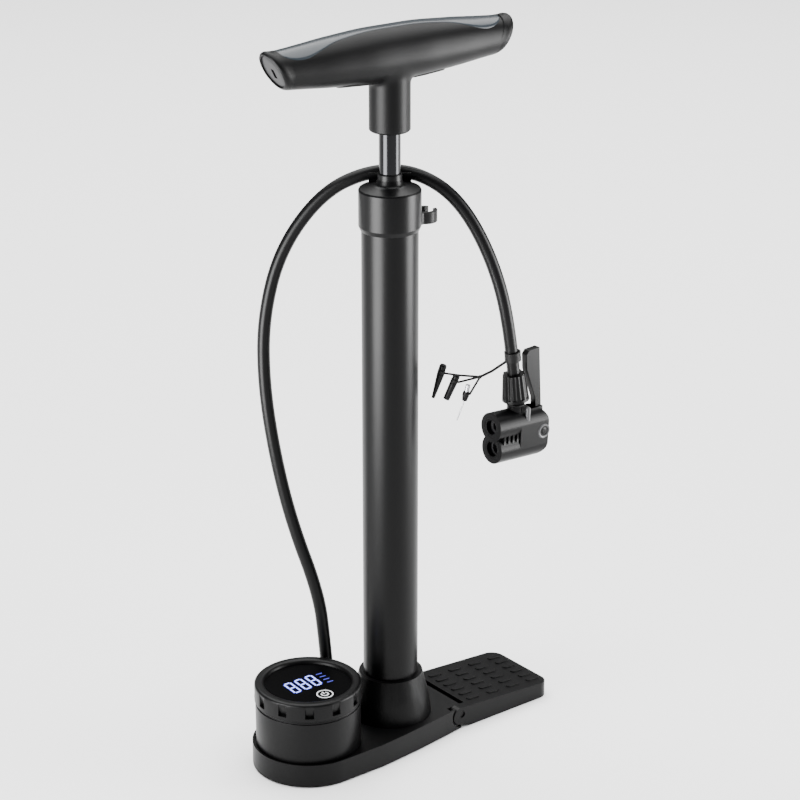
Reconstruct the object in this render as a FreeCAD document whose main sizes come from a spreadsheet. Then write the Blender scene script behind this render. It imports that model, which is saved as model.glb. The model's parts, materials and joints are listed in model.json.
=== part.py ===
"""Floor bike pump with a digital gauge, a fold-down foot tread and a twin-port chuck.

Frame: the origin lies on the floor at the axis of the barrel, +Z is up and +X runs along the
foot from the gauge towards the tread.  Millimetres.
"""
import FreeCAD, Part

import math
import os
import re

import Sketcher
from FreeCAD import Placement, Rotation, Vector

DIMENSIONS = {
    # barrel
    "barrel_radius": 19.0,
    "barrel_wall": 1.6,
    "barrel_foot": 26.0,
    "barrel_top": 380.0,
    # foot
    "wall": 2.5,
    "foot_clearance": 0.8,
    "deck_top": 15.6,
    "rim_top": 17.4,
    "boss_top": 47.6,
    "boss_top_radius": 22.2,
    "boss_foot_radius": 28.6,
    "boss_waist_radius": 26.4,
    "foot_half_width": 39.6,
    "hinge_half_width": 31.0,
    # tread
    "hinge_x": 40.0,
    "hinge_z": 11.2,
    "tread_reach": 122.5,
    "tread_inner": 46.8,
    "tread_slope": 3.67,
    "tongue_half_width": 24.0,
    "pin_radius": 2.5,
    "running_gap": 0.06,
    # gauge
    "gauge_x": -71.9,
    "drum_radius": 36.2,
    "drum_top": 48.4,
    "bezel_radius": 36.8,
    "bezel_top": 62.0,
    "lens_top": 59.4,
    "lens_radius": 30.9,
    "window_radius": 29.4,
    "bezel_turn": -4.6,
    "button_y": -19.5,
    "button_radius": 6.2,
    # cap
    "cap_radius": 20.8,
    "cap_foot": 370.4,
    "cap_top": 398.1,
    "collar_radius": 8.1,
    "collar_foot": 401.6,
    "collar_top": 409.4,
    # plunger
    "rod_radius": 7.2,
    "rod_wall": 1.4,
    "stem_radius": 13.6,
    "stem_foot": 437.2,
    "handle_z": 488.7,
    "handle_turn": -2.7,
    "handle_end": 88.8,
    "handle_end_slant": 27.0,
    "pad_shift": -1.5,
    "piston_foot": 74.0,
    # hose
    "loop_turn": -38.3,
    "hose_radius": 4.4,
    "saddle_offset": 18.0,
    "saddle_z": 404.6,
    # chuck
    "chuck_x": 78.0,
    "chuck_y": -39.0,
    "chuck_z": 243.0,
    "chuck_tilt": -6.0,
    "chuck_body_tilt": 3.0,
    "lever_tilt": -3.0,
    "neck_length": 5.4,
    "chuck_face": -21.0,
    "chuck_rear": 22.6,
    "port_radius": 10.3,
    "port_pitch": 15.9,
    "port_bore": 6.6,
    "lower_port_set_back": 1.8,
}

doc = FreeCAD.newDocument("FloorPump")
sheet = doc.addObject("Spreadsheet::Sheet", "Dims")
for row, (alias, value) in enumerate(DIMENSIONS.items(), start=1):
    sheet.set("A%d" % row, alias)
    sheet.set("B%d" % row, str(value))
    sheet.setAlias("B%d" % row, alias)
doc.recompute()

NODES = []


# ---------------------------------------------------------------- helpers
def size(alias):
    """Value of one cell of the sheet."""
    return float(sheet.get(alias))


def formula(text):
    """Write every alias in the text as a reference to its cell."""
    return re.sub(r"[a-z_]+", lambda m: "Dims." + m[0] if m[0] in DIMENSIONS else m[0], str(text))


def bind(piece, **sizes):
    for name, text in sizes.items():
        piece.setExpression(name, formula(text))


def set_base(piece, x, y, z):
    for axis, text in zip("xyz", (x, y, z)):
        piece.setExpression("Placement.Base." + axis, formula(text))


def node(piece):
    """Keep the piece as a sub-part; its Label is the name of its file."""
    NODES.append(piece)
    return piece


def cylinder(label, radius, height, z="0", x="0", y="0"):
    piece = doc.addObject("Part::Cylinder", label)
    bind(piece, Radius=radius, Height=height)
    set_base(piece, x, y, z)
    return piece


def cone(label, foot_radius, top_radius, height, z="0", x="0", y="0"):
    piece = doc.addObject("Part::Cone", label)
    bind(piece, Radius1=foot_radius, Radius2=top_radius, Height=height)
    set_base(piece, x, y, z)
    return piece


def torus(label, major, minor, z="0", x="0", y="0"):
    piece = doc.addObject("Part::Torus", label)
    bind(piece, Radius1=major, Radius2=minor)
    set_base(piece, x, y, z)
    return piece


def box(label, length, width, height, x, y, z):
    """Box by its sizes along X, Y and Z and its lowest corner."""
    piece = doc.addObject("Part::Box", label)
    bind(piece, Length=length, Width=width, Height=height)
    set_base(piece, x, y, z)
    return piece


def lying(piece, axis):
    """Turn a primitive's own Z axis onto +X or +Y."""
    turned = {"x": Rotation(Vector(0, 1, 0), 90), "y": Rotation(Vector(1, 0, 0), -90)}
    piece.Placement = Placement(piece.Placement.Base, turned[axis])
    return piece


def fuse(label, pieces):
    piece = doc.addObject("Part::MultiFuse", label)
    piece.Shapes = pieces
    piece.Refine = True
    return piece


def cut(label, base, tools):
    piece = doc.addObject("Part::Cut", label)
    piece.Base = base
    piece.Tool = tools[0] if len(tools) == 1 else fuse(label + "_tools", tools)
    return piece


def ring(label, outer, inner, height, z="0", x="0", y="0"):
    blank = cylinder(label + "_blank", outer, height, z, x, y)
    bore = cylinder(label + "_bore", inner, "(%s) + 2" % height, "(%s) - 1" % z, x, y)
    return cut(label, blank, [bore])


def solid(label, shape, placement=None):
    """A free-form piece whose shape is worked out here from the sheet's sizes."""
    piece = doc.addObject("Part::Feature", label)
    piece.Shape = shape
    if placement is not None:
        piece.Placement = placement.multiply(shape.Placement)
    return piece


def polar(count, radius, first=0.0):
    """Points spaced evenly on a circle, as (x, y) pairs."""
    for k in range(count):
        angle = math.radians(first + 360.0 * k / count)
        yield radius * math.cos(angle), radius * math.sin(angle)


def rod_between(start, end, radius):
    run = end - start
    return Part.makeCylinder(radius, run.Length, start, run)


# PartDesign
def origin_plane(body, role):
    return next(f for f in body.Origin.OriginFeatures if f.Role == role)


def new_sketch(body, name, role="XY_Plane", height="0"):
    sketch = body.newObject("Sketcher::SketchObject", name)
    sketch.AttachmentSupport = (origin_plane(body, role), [""])
    sketch.MapMode = "FlatFace"
    if height != "0":
        sketch.setExpression("AttachmentOffset.Base.z", formula(height))
    return sketch


def add_circle(sketch, radius, x=0.0, y=0.0):
    """A circle whose radius is bound to the sheet."""
    index = sketch.addGeometry(Part.Circle(Vector(x, y, 0), Vector(0, 0, 1), 5.0), False)
    fixed = sketch.addConstraint(Sketcher.Constraint("Radius", index, 5.0))
    sketch.setExpression("Constraints[%d]" % fixed, formula(radius))
    if x == 0.0 and y == 0.0:
        sketch.addConstraint(Sketcher.Constraint("Coincident", index, 3, -1, 1))


def add_polygon(sketch, corners):
    for start, end in zip(corners, corners[1:] + corners[:1]):
        sketch.addGeometry(Part.LineSegment(Vector(*start, 0), Vector(*end, 0)), False)


def pad(body, sketch, length):
    feature = body.newObject("PartDesign::Pad", sketch.Name + "_pad")
    feature.Profile = sketch
    feature.setExpression("Length", formula(length))
    body.Tip = feature
    return feature


def pocket(body, sketch, length, upward=True):
    """Cut from the sketch plane; upward cuts along the sketch's normal."""
    feature = body.newObject("PartDesign::Pocket", sketch.Name + "_pocket")
    feature.Profile = sketch
    feature.Reversed = upward
    feature.setExpression("Length", formula(length))
    body.Tip = feature
    return feature


def around(body, feature, count):
    """Repeat a feature evenly about the body's Z axis."""
    pattern = body.newObject("PartDesign::PolarPattern", feature.Name + "_pattern")
    pattern.Originals = [feature]
    pattern.Axis = (next(f for f in body.Origin.OriginFeatures if f.Role == "Z_Axis"), [""])
    pattern.Angle = 360
    pattern.Occurrences = count
    body.Tip = pattern
    return pattern


def new_body(label):
    return doc.addObject("PartDesign::Body", label)


# ---------------------------------------------------------------- foot
def foot_outline(inset):
    """Plan of the foot: a round gauge end, nearly straight sides and a waist towards the hinge."""
    half = size("foot_half_width") - inset
    end_x = size("gauge_x") + 0.9
    side_x, waist_x, hinge_x = -38.0, 2.0, 40.0
    waist_half = 36.0 - inset
    hinge_half = size("hinge_half_width") - 0.6 - inset
    tip = Vector(end_x - half + 0.2, 0, 0)
    upper = [Vector(end_x, half, 0), Vector(side_x, half + 0.2, 0),
             Vector(waist_x, waist_half, 0), Vector(hinge_x, hinge_half, 0)]
    lower = [Vector(p.x, -p.y, 0) for p in upper]
    edges = [Part.Arc(lower[0], tip, upper[0]).toShape(),
             Part.makeLine(upper[0], upper[1]),
             Part.Arc(upper[1], upper[2], upper[3]).toShape(),
             Part.makeLine(upper[3], lower[3]),
             Part.Arc(lower[3], lower[2], lower[1]).toShape(),
             Part.makeLine(lower[1], lower[0])]
    return Part.Face(Part.Wire(edges))


def slab(inset, low, high):
    face = foot_outline(inset)
    face.translate(Vector(0, 0, low))
    return face.extrude(Vector(0, 0, high - low))


FOOT_SCREW_RADIUS = 28.0
BLOCK_SCREW_RADIUS = 23.6
FOOT_PADS = [(-71.9, 29.0), (-71.9, -29.0), (-101.0, 0.0), (20.0, 24.5), (20.0, -24.5)]
GLAND = Vector(-33.6, 26.4, 0)


def base_shell():
    low, deck, rim = size("foot_clearance"), size("deck_top"), size("rim_top")
    wall, boss_top = size("wall"), size("boss_top")
    hinge_x, hinge_z = size("hinge_x"), size("hinge_z")
    tongue = size("tongue_half_width")
    shell = slab(0, low, rim).cut(slab(wall, low - 1, deck - wall))
    shell = shell.cut(slab(1.3, deck, rim + 1))
    # ribs across and along the underside
    ribs = [Part.makeBox(1.8, 90, 5.4, Vector(x, -45, deck - wall - 5.3)) for x in (-104.0, -48.0, 30.0)]
    ribs += [Part.makeBox(150, 1.8, 5.4, Vector(-115, y - 0.9, deck - wall - 5.3)) for y in (-33.0, 33.0)]
    ribs = ribs[0].multiFuse(ribs[1:]).common(slab(0.5, low, deck))
    posts = [Part.makeCylinder(6.6, deck - wall - low + 0.2, Vector(x, y, low)) for x, y in FOOT_PADS]
    waist, shoulder = size("boss_waist_radius"), 0.48
    bend = deck + shoulder * (boss_top - deck)
    boss = Part.makeCone(size("boss_foot_radius"), waist, bend - deck + 0.1, Vector(0, 0, deck - 0.1))
    boss_neck = Part.makeCone(waist, size("boss_top_radius"), boss_top - bend, Vector(0, 0, bend))
    shell = shell.multiFuse([ribs, boss, boss_neck] + posts)
    # the tongue that carries the hinge pin
    knuckle = Part.makeCylinder(5.6, 2 * tongue, Vector(hinge_x, -tongue, hinge_z), Vector(0, 1, 0))
    bridge = Part.makeBox(13.0, 2 * tongue, 10.0, Vector(hinge_x - 13.0, -tongue, hinge_z - 5.6))
    tread_space = Part.makeBox(30, 100, 30, Vector(hinge_x - 11.5, -50, -1))
    ear_space = Part.makeCylinder(9.4, 100, Vector(hinge_x, -50, hinge_z), Vector(0, 1, 0))
    cheeks = tread_space.cut(Part.makeBox(60, 2 * tongue, 60, Vector(hinge_x - 30, -tongue, -10)))
    shell = shell.cut(cheeks.common(ear_space.fuse(Part.makeBox(30, 100, 30, Vector(hinge_x, -50, -1)))))
    shell = shell.cut(Part.makeBox(30, 100, 40, Vector(hinge_x, -50, -1)))
    top_block = Part.makeBox(3.0, 2 * tongue, deck - hinge_z, Vector(hinge_x - 0.1, -tongue, hinge_z))
    tongue_solid = knuckle.multiFuse([bridge, top_block])
    tongue_solid = tongue_solid.cut(Part.makeBox(40, 100, 20, Vector(hinge_x - 20, -50, deck)))
    shell = shell.fuse(tongue_solid)
    # barrel socket, pin hole, duct, hose gland and screw holes
    bores = [Part.makeCylinder(size("barrel_radius") + 0.05, 60, Vector(0, 0, low - 1)),
             Part.makeCylinder(27.3, deck - wall + 0.2 - low + 1, Vector(0, 0, low - 1)),
             Part.makeCylinder(size("pin_radius") + 0.02, 80, Vector(hinge_x, -40, hinge_z), Vector(0, 1, 0)),
             Part.makeCylinder(3.1, 70, Vector(-20, 0, 9.8), Vector(-1, 0, 0)),
             Part.makeCylinder(3.1, 20, Vector(size("gauge_x"), 0, 5)),
             Part.makeCylinder(3.1, 20, Vector(GLAND.x, GLAND.y, 5))]
    bores += [Part.makeCylinder(1.7, 20, Vector(size("gauge_x") + x, y, low))
              for x, y in polar(4, FOOT_SCREW_RADIUS, 45)]
    bores += [Part.makeCylinder(1.45, 18, Vector(x, y, low)) for x, y in polar(3, BLOCK_SCREW_RADIUS, 60)]
    node(solid("base_shell", shell.cut(bores[0].multiFuse(bores[1:])).removeSplitter()))


def rubber_feet():
    pads = [cylinder("foot_pad", 6.0, "foot_clearance", 0, x, y) for x, y in FOOT_PADS]
    pads.append(cylinder("centre_pad", 14.0, "foot_clearance", 0))
    node(fuse("rubber_feet", pads))


def screw(x, y, head_z, head_radius, shank_radius, shank_length):
    """Pan-head screw driven upwards, with a cross recess."""
    head = Part.makeCylinder(head_radius, 2.0, Vector(x, y, head_z))
    shank = Part.makeCylinder(shank_radius, shank_length, Vector(x, y, head_z + 2.0))
    recess = Part.makeBox(0.8, 3.0, 1.0, Vector(x - 0.4, y - 1.5, head_z))
    cross = recess.fuse(Part.makeBox(3.0, 0.8, 1.0, Vector(x - 1.5, y - 0.4, head_z)))
    return head.fuse(shank).cut(cross)


def base_screws():
    deck_under = size("deck_top") - size("wall")
    screws = [screw(size("gauge_x") + x, y, deck_under - 2.05, 2.9, 1.5, 9.0)
              for x, y in polar(4, FOOT_SCREW_RADIUS, 45)]
    screws += [screw(x, y, 4.2, 2.4, 1.35, 11.0) for x, y in polar(3, BLOCK_SCREW_RADIUS, 60)]
    node(solid("base_screws", Part.makeCompound(screws)))


def valve_block():
    """Plug under the barrel with the one-way valve chamber and the air outlet."""
    shoulder = size("deck_top") - size("wall")
    blank = fuse("valve_block_blank", [cylinder("puck", 27.2, "%s - foot_clearance" % shoulder, "foot_clearance"),
                                       cylinder("plug", 18.95, 13.1, shoulder - 0.1),
                                       cylinder("spigot", "barrel_radius - barrel_wall - 0.15", 10.0, 26.0)])
    seal_groove = ring("seal_groove", 20.0, 15.4, 2.4, 29.8)
    outlet = lying(cylinder("outlet", 1.6, 30.0, 9.8), "x")
    outlet.Placement = Placement(Vector(-30, 0, 9.8), Rotation(Vector(0, 1, 0), 90))
    tools = [cylinder("valve_seat", 2.2, 14.0, 23.5), cylinder("valve_chamber", 5.0, 16.5, 7.5),
             cylinder("stem_guide", 1.58, 4.0, 4.6), seal_groove, outlet]
    for x, y in polar(3, BLOCK_SCREW_RADIUS, 60):
        tools.append(cylinder("block_screw_hole", 1.45, 20.0, 3.0, x, y))
        tools.append(cylinder("block_screw_head", 2.5, 6.25, 0.0, x, y))
    node(cut("valve_block", blank, tools))
    node(torus("barrel_seal", 16.4, 0.96, 31.0))


def check_valve():
    """Poppet that opens downwards under pressure, and the spring that shuts it."""
    node(fuse("check_valve_poppet", [cylinder("poppet_disc", 4.0, 1.6, 22.35),
                                     cylinder("poppet_stem", 1.5, 16.6, 6.0)]))
    helix = Part.makeHelix(2.2, 9.6, 2.9)
    helix.Placement = Placement(Vector(0, 0, 11.9), Rotation())
    start = helix.Vertexes[0].Point
    tangent = helix.Edges[0].tangentAt(helix.Edges[0].FirstParameter)
    section = Part.Wire(Part.makeCircle(0.35, start, tangent))
    coil = Part.Wire(helix.Edges).makePipeShell([section], True, True)
    node(solid("check_valve_spring", coil))


def air_duct():
    """Manifold under the deck from the valve to the gauge and to the hose."""
    gauge_x, level = size("gauge_x"), 9.8
    runs = [rod_between(Vector(-27.3, 0, level), Vector(gauge_x, 0, level), 3.0),
            Part.makeSphere(3.0, Vector(gauge_x, 0, level)),
            rod_between(Vector(gauge_x, 0, level), Vector(gauge_x, 0, 24.0), 3.0),
            rod_between(Vector(gauge_x, 0, 23.9), Vector(gauge_x, 0, 34.0), 1.6),
            rod_between(Vector(GLAND.x, 0, level), Vector(GLAND.x, GLAND.y, level), 3.0),
            Part.makeSphere(3.0, Vector(GLAND.x, GLAND.y, level)),
            rod_between(Vector(GLAND.x, GLAND.y, level), Vector(GLAND.x, GLAND.y, 15.5), 3.0)]
    passages = [rod_between(Vector(-27.0, 0, level), Vector(gauge_x, 0, level), 1.5),
                rod_between(Vector(gauge_x, 0, level), Vector(gauge_x, 0, 35.0), 0.8),
                rod_between(Vector(GLAND.x, 0, level), Vector(GLAND.x, GLAND.y, level), 1.4),
                rod_between(Vector(GLAND.x, GLAND.y, level), Vector(GLAND.x, GLAND.y, 16.0), 1.2)]
    duct = runs[0].multiFuse(runs[1:])
    for passage in passages:
        duct = duct.cut(passage)
    node(solid("air_duct", duct))


# ---------------------------------------------------------------- tread
BUMP_COLUMNS = [57.5, 76.3, 95.0, 113.8]
BUMP_ROWS = [-21.5, -13.0, -4.3, 4.3, 13.0, 21.5]


def tread_side(inset):
    """Side view of the tread as (x, z) corners: round ear behind, wedge in front."""
    hinge_x, hinge_z = size("hinge_x"), size("hinge_z")
    slope = math.tan(math.radians(size("tread_slope")))
    reach = size("tread_reach") - inset
    top_at_hinge = hinge_z + 5.3
    return [(hinge_x, top_at_hinge - inset), (reach, top_at_hinge - slope * (reach - hinge_x) - inset),
            (reach, 0.3), (hinge_x + 6.5, 0.5), (hinge_x, hinge_z - 7.6)]


def foot_tread():
    hinge_x, hinge_z = size("hinge_x"), size("hinge_z")
    half, reach = size("hinge_half_width"), size("tread_reach")
    tread = new_body("foot_tread")
    side = new_sketch(tread, "tread_side", "XZ_Plane")
    corners = tread_side(0)
    for start, end in zip(corners[:-1], corners[1:]):
        side.addGeometry(Part.LineSegment(Vector(*start, 0), Vector(*end, 0)), False)
    ear_back = Vector(hinge_x - 7.4, hinge_z - 0.9, 0)
    side.addGeometry(Part.Arc(Vector(*corners[0], 0), ear_back, Vector(*corners[-1], 0)), False)
    body_pad = pad(tread, side, "2 * hinge_half_width")
    body_pad.Midplane = True
    # hollow underside
    under = new_sketch(tread, "tread_hollow", "XZ_Plane")
    slope = math.tan(math.radians(size("tread_slope")))
    roof = hinge_z + 2.8
    add_polygon(under, [(49.4, -1.0), (49.4, roof - slope * 9.4), (reach - 2.5, roof - slope * (reach - 42.5)),
                        (reach - 2.5, -1.0)])
    hollow = pocket(tread, under, "2 * hinge_half_width - 2 * wall")
    hollow.Midplane = True
    # slot for the foot's tongue
    slot = new_sketch(tread, "tongue_slot", "XZ_Plane")
    add_polygon(slot, [(20.0, -5.0), (size("tread_inner"), -5.0), (size("tread_inner"), 30.0), (20.0, 30.0)])
    slot_pocket = pocket(tread, slot, "2 * tongue_half_width + 0.8")
    slot_pocket.Midplane = True
    # hinge hole
    hole = new_sketch(tread, "hinge_hole", "XZ_Plane")
    add_circle(hole, "pin_radius + running_gap", hinge_x, hinge_z)
    hole_pocket = pocket(tread, hole, "2 * hinge_half_width + 4")
    hole_pocket.Midplane = True
    # rounded far corners
    corner = 9.0
    rounding = new_sketch(tread, "corner_trim", "XY_Plane", "-1")
    for side_sign in (1, -1):
        inner = Vector(reach - corner, side_sign * (half - corner), 0)
        middle = inner + Vector(corner * math.sqrt(0.5), side_sign * corner * math.sqrt(0.5), 0)
        end_point, side_point = Vector(reach, inner.y, 0), Vector(inner.x, side_sign * half, 0)
        outside = [end_point, Vector(reach + 1, inner.y, 0), Vector(reach + 1, side_sign * (half + 1), 0),
                   Vector(inner.x, side_sign * (half + 1), 0), side_point]
        for start, end in zip(outside[:-1], outside[1:]):
            rounding.addGeometry(Part.LineSegment(start, end), False)
        rounding.addGeometry(Part.Arc(side_point, middle, end_point), False)
    pocket(tread, rounding, "40")
    # raised bumps on the sloping top
    bumps = new_sketch(tread, "tread_bumps")
    tilt = Rotation(Vector(0, 1, 0), size("tread_slope"))
    bumps.AttachmentOffset = Placement(Vector(hinge_x, 0, hinge_z + 5.0), tilt)
    for x in BUMP_COLUMNS:
        for y in BUMP_ROWS:
            left, right = x - hinge_x - 3.6, x - hinge_x + 3.6
            bumps.addGeometry(Part.LineSegment(Vector(left, y - 2.1, 0), Vector(right, y - 2.1, 0)), False)
            bumps.addGeometry(Part.Arc(Vector(right, y - 2.1, 0), Vector(right + 2.1, y, 0),
                                       Vector(right, y + 2.1, 0)), False)
            bumps.addGeometry(Part.LineSegment(Vector(right, y + 2.1, 0), Vector(left, y + 2.1, 0)), False)
            bumps.addGeometry(Part.Arc(Vector(left, y + 2.1, 0), Vector(left - 2.1, y, 0),
                                       Vector(left, y - 2.1, 0)), False)
    pad(tread, bumps, "1.2")
    node(tread)
    pin = lying(cylinder("pedal_pin", "pin_radius", 60.0, "hinge_z", "hinge_x", -30.0), "y")
    pin.Label = "hinge_pin"
    node(pin)


# ---------------------------------------------------------------- gauge
def gauge_housing():
    gauge_x = size("gauge_x")
    deck = "deck_top + 0.05"
    outer = cylinder("drum_blank", "drum_radius", "drum_top - deck_top - 0.05", deck, "gauge_x")
    inner = cylinder("drum_room", "drum_radius - wall", 40.0, "deck_top + 2.4", "gauge_x")
    walls = cut("drum_walls", outer, [inner])
    posts = [cylinder("screw_post", 3.8, 12.0, "deck_top + 1", gauge_x + x, y)
             for x, y in polar(4, FOOT_SCREW_RADIUS, 45)]
    posts += [cylinder("board_post", 2.4, "49 - deck_top - 1", "deck_top + 1", gauge_x + x, y)
              for x, y in polar(3, 29.0, 90)]
    holes = [cylinder("screw_hole", 1.52, 9.0, "deck_top - 1", gauge_x + x, y)
             for x, y in polar(4, FOOT_SCREW_RADIUS, 45)]
    holes.append(cylinder("riser_hole", 3.1, 6.0, "deck_top - 1", gauge_x))
    node(cut("gauge_housing", fuse("drum_and_posts", [walls] + posts), holes))


def gauge_bezel():
    bezel = new_body("gauge_bezel")
    disc = new_sketch(bezel, "bezel_disc", height="drum_top + 0.1")
    add_circle(disc, "bezel_radius")
    pad(bezel, disc, "bezel_top - drum_top - 0.1")
    for name, radius, height in (("bezel_window", "window_radius", "lens_top - 1"),
                                 ("lens_pocket", "lens_radius + 0.1", "drum_top - 1"),
                                 ("bezel_skirt", "drum_radius - 2.2", "drum_top - 1")):
        opening = new_sketch(bezel, name, height=height)
        add_circle(opening, radius)
        depth = {"bezel_window": "10", "lens_pocket": "lens_top + 1.05 - drum_top", "bezel_skirt": "6.4"}[name]
        pocket(bezel, opening, depth)
    notch = new_sketch(bezel, "grip_notch", "XY_Plane", "51.6")
    edge = size("bezel_radius")
    add_polygon(notch, [(edge - 1.2, -2.8), (edge + 2.0, -2.8), (edge + 2.0, 2.8), (edge - 1.2, 2.8)])
    around(bezel, pocket(bezel, notch, "8.6"), 12)
    bezel.setExpression("Placement.Base.x", formula("gauge_x"))
    bind(bezel, **{"Placement.Rotation.Angle": "bezel_turn"})
    node(bezel)


def gauge_inside():
    gauge_x = size("gauge_x")
    lens = cylinder("lens_disc", "lens_radius", 2.0, "lens_top - 2", "gauge_x")
    button_hole = cylinder("button_hole", "button_radius + 0.15", 4.0, "lens_top - 3", "gauge_x", "button_y")
    node(cut("gauge_lens", lens, [button_hole]))
    node(box("display_panel", 44.0, 27.0, 2.9, gauge_x - 22.0, -10.0, "lens_top - 5.2"))
    node(fuse("power_button", [
        cylinder("button_cap", "button_radius", 2.6, "lens_top - 2.6", "gauge_x", "button_y"),
        cylinder("button_flange", 7.4, 1.0, "lens_top - 3.3", "gauge_x", "button_y"),
        cylinder("button_stem", 1.5, 4.0, "lens_top - 6.4", "gauge_x", "button_y")]))
    board = cylinder("board_disc", 33.0, 1.6, 49.1, "gauge_x")
    node(board)
    board.Label = "circuit_board"
    node(box("button_switch", 6.0, 6.0, 1.2, gauge_x - 3.0, "button_y - 3", 50.75))
    cell = cylinder("coin_cell", 10.0, 3.2, 45.8, gauge_x + 12.5, 12.5)
    node(cell)
    sensor = cut("pressure_sensor", fuse("sensor_body", [cylinder("sensor_can", 5.0, 6.0, 43.0, "gauge_x"),
                                                         cylinder("sensor_barb", 1.6, 7.0, 36.5, "gauge_x")]),
                 [cylinder("sensor_port", 0.7, 9.0, 36.0, "gauge_x")])
    node(sensor)
    node(ring("sensor_tube", 2.9, 1.65, 12.0, 29.5, "gauge_x"))


# ---------------------------------------------------------------- barrel and cap
def barrel():
    tube = new_body("barrel_tube")
    section = new_sketch(tube, "barrel_section", height="barrel_foot + 0.1")
    add_circle(section, "barrel_radius")
    add_circle(section, "barrel_radius - barrel_wall")
    pad(tube, section, "barrel_top - barrel_foot - 0.1")
    node(tube)


def top_cap():
    blank = fuse("cap_blank", [
        cone("cap_chamfer", "cap_radius - 1.2", "cap_radius", 3.0, "cap_foot"),
        cylinder("cap_side", "cap_radius", "cap_top - cap_foot - 3.4", "cap_foot + 3.0"),
        cone("cap_edge", "cap_radius", "cap_radius - 0.5", 0.4, "cap_top - 0.4"),
        cone("cap_cone", "cap_radius - 0.5", "collar_radius", "collar_foot - cap_top", "cap_top"),
        cylinder("cap_collar", "collar_radius", "collar_top - collar_foot", "collar_foot")])
    tools = [cylinder("cap_socket", "barrel_radius + 0.05", "barrel_top - cap_foot + 1.1", "cap_foot - 1"),
             cylinder("bush_room", 12.05, 13.0, "barrel_top - 0.5"),
             cylinder("wiper_room", 9.9, 2.6, "cap_top - 3.2"),
             cylinder("rod_bore", "rod_radius + 0.3", 60.0, "cap_foot")]
    node(cut("top_cap", blank, tools))
    bush_blank = fuse("bush_blank", [
        cylinder("bush_flange", "barrel_radius - barrel_wall - 0.15", 4.0, "barrel_top - 4"),
        cylinder("bush_body", 12.0, 12.3, "barrel_top - 0.1")])
    node(cut("rod_guide_bush", bush_blank, [cylinder("bush_bore", "rod_radius + running_gap", 30.0,
                                                     "barrel_top - 8")]))
    node(torus("rod_wiper", "rod_radius + 0.08 + 1.2", 1.2, "cap_top - 1.9"))


def in_loop_plane(piece):
    """Turn a piece made along X into the upright plane that the hose loop lies in."""
    bind(piece, **{"Placement.Rotation.Angle": "loop_turn"})
    return piece


def hose_saddle():
    """Open trough behind the rod that the hose loop rests in."""
    offset, level = size("saddle_offset"), size("saddle_z")
    length, outer, inner = 28.0, 6.6, size("hose_radius") + 0.6
    trough = hose_tube(outer).cut(hose_tube(inner))
    trough.rotate(Vector(0, 0, 0), Vector(0, 0, 1), -size("loop_turn"))
    trough = trough.common(Part.makeBox(length, 30, 12, Vector(-length / 2, offset - 15, level - 11.4)))
    plinth = Part.makeBox(28.0, 9.0, 6.0, Vector(-14.0, offset - 5.5, level - 9.5))
    hollow = hose_tube(inner)
    hollow.rotate(Vector(0, 0, 0), Vector(0, 0, 1), -size("loop_turn"))
    cap_space = Part.makeCone(size("cap_radius") - 0.45, size("collar_radius") + 0.05,
                              size("collar_foot") - size("cap_top"), Vector(0, 0, size("cap_top") + 0.05))
    cap_space = cap_space.fuse(Part.makeCylinder(size("cap_radius") + 0.05, 20,
                                                 Vector(0, 0, size("cap_top") - 19.94)))
    rod_space = Part.makeCylinder(size("collar_radius") + 0.1, 40, Vector(0, 0, size("cap_top")))
    saddle = trough.fuse(plinth.cut(hollow)).cut(cap_space).cut(rod_space)
    node(in_loop_plane(solid("hose_saddle", saddle)))


def chuck_hook():
    """Spring clip on the side of the cap that grips the chuck's neck for storage."""
    low, height = size("cap_foot"), 8.0
    centre = Vector(29.6, 0.4, low)
    clip = Part.makeCylinder(8.4, height, centre).cut(Part.makeCylinder(5.8, height, centre))
    mouth = Part.makeBox(10, 6.0, height, Vector(33.0, -1.0, low))
    arm = Part.makeBox(6.0, 12.6, height, Vector(18.6, -5.9, low))
    arm = arm.cut(Part.makeCylinder(5.8, height, centre))
    strip = Part.makeCylinder(size("cap_radius") + 1.5, 16.0, Vector(0, 0, low + 1.6))
    strip = strip.common(Part.makeBox(10, 10.4, 16.0, Vector(16.0, -4.8, low + 1.6)))
    plate = clip.cut(mouth).fuse(arm).fuse(strip)
    node(solid("chuck_hook", plate.cut(Part.makeCylinder(size("cap_radius") + 0.03, 60, Vector(0, 0, low - 5)))))


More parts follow.
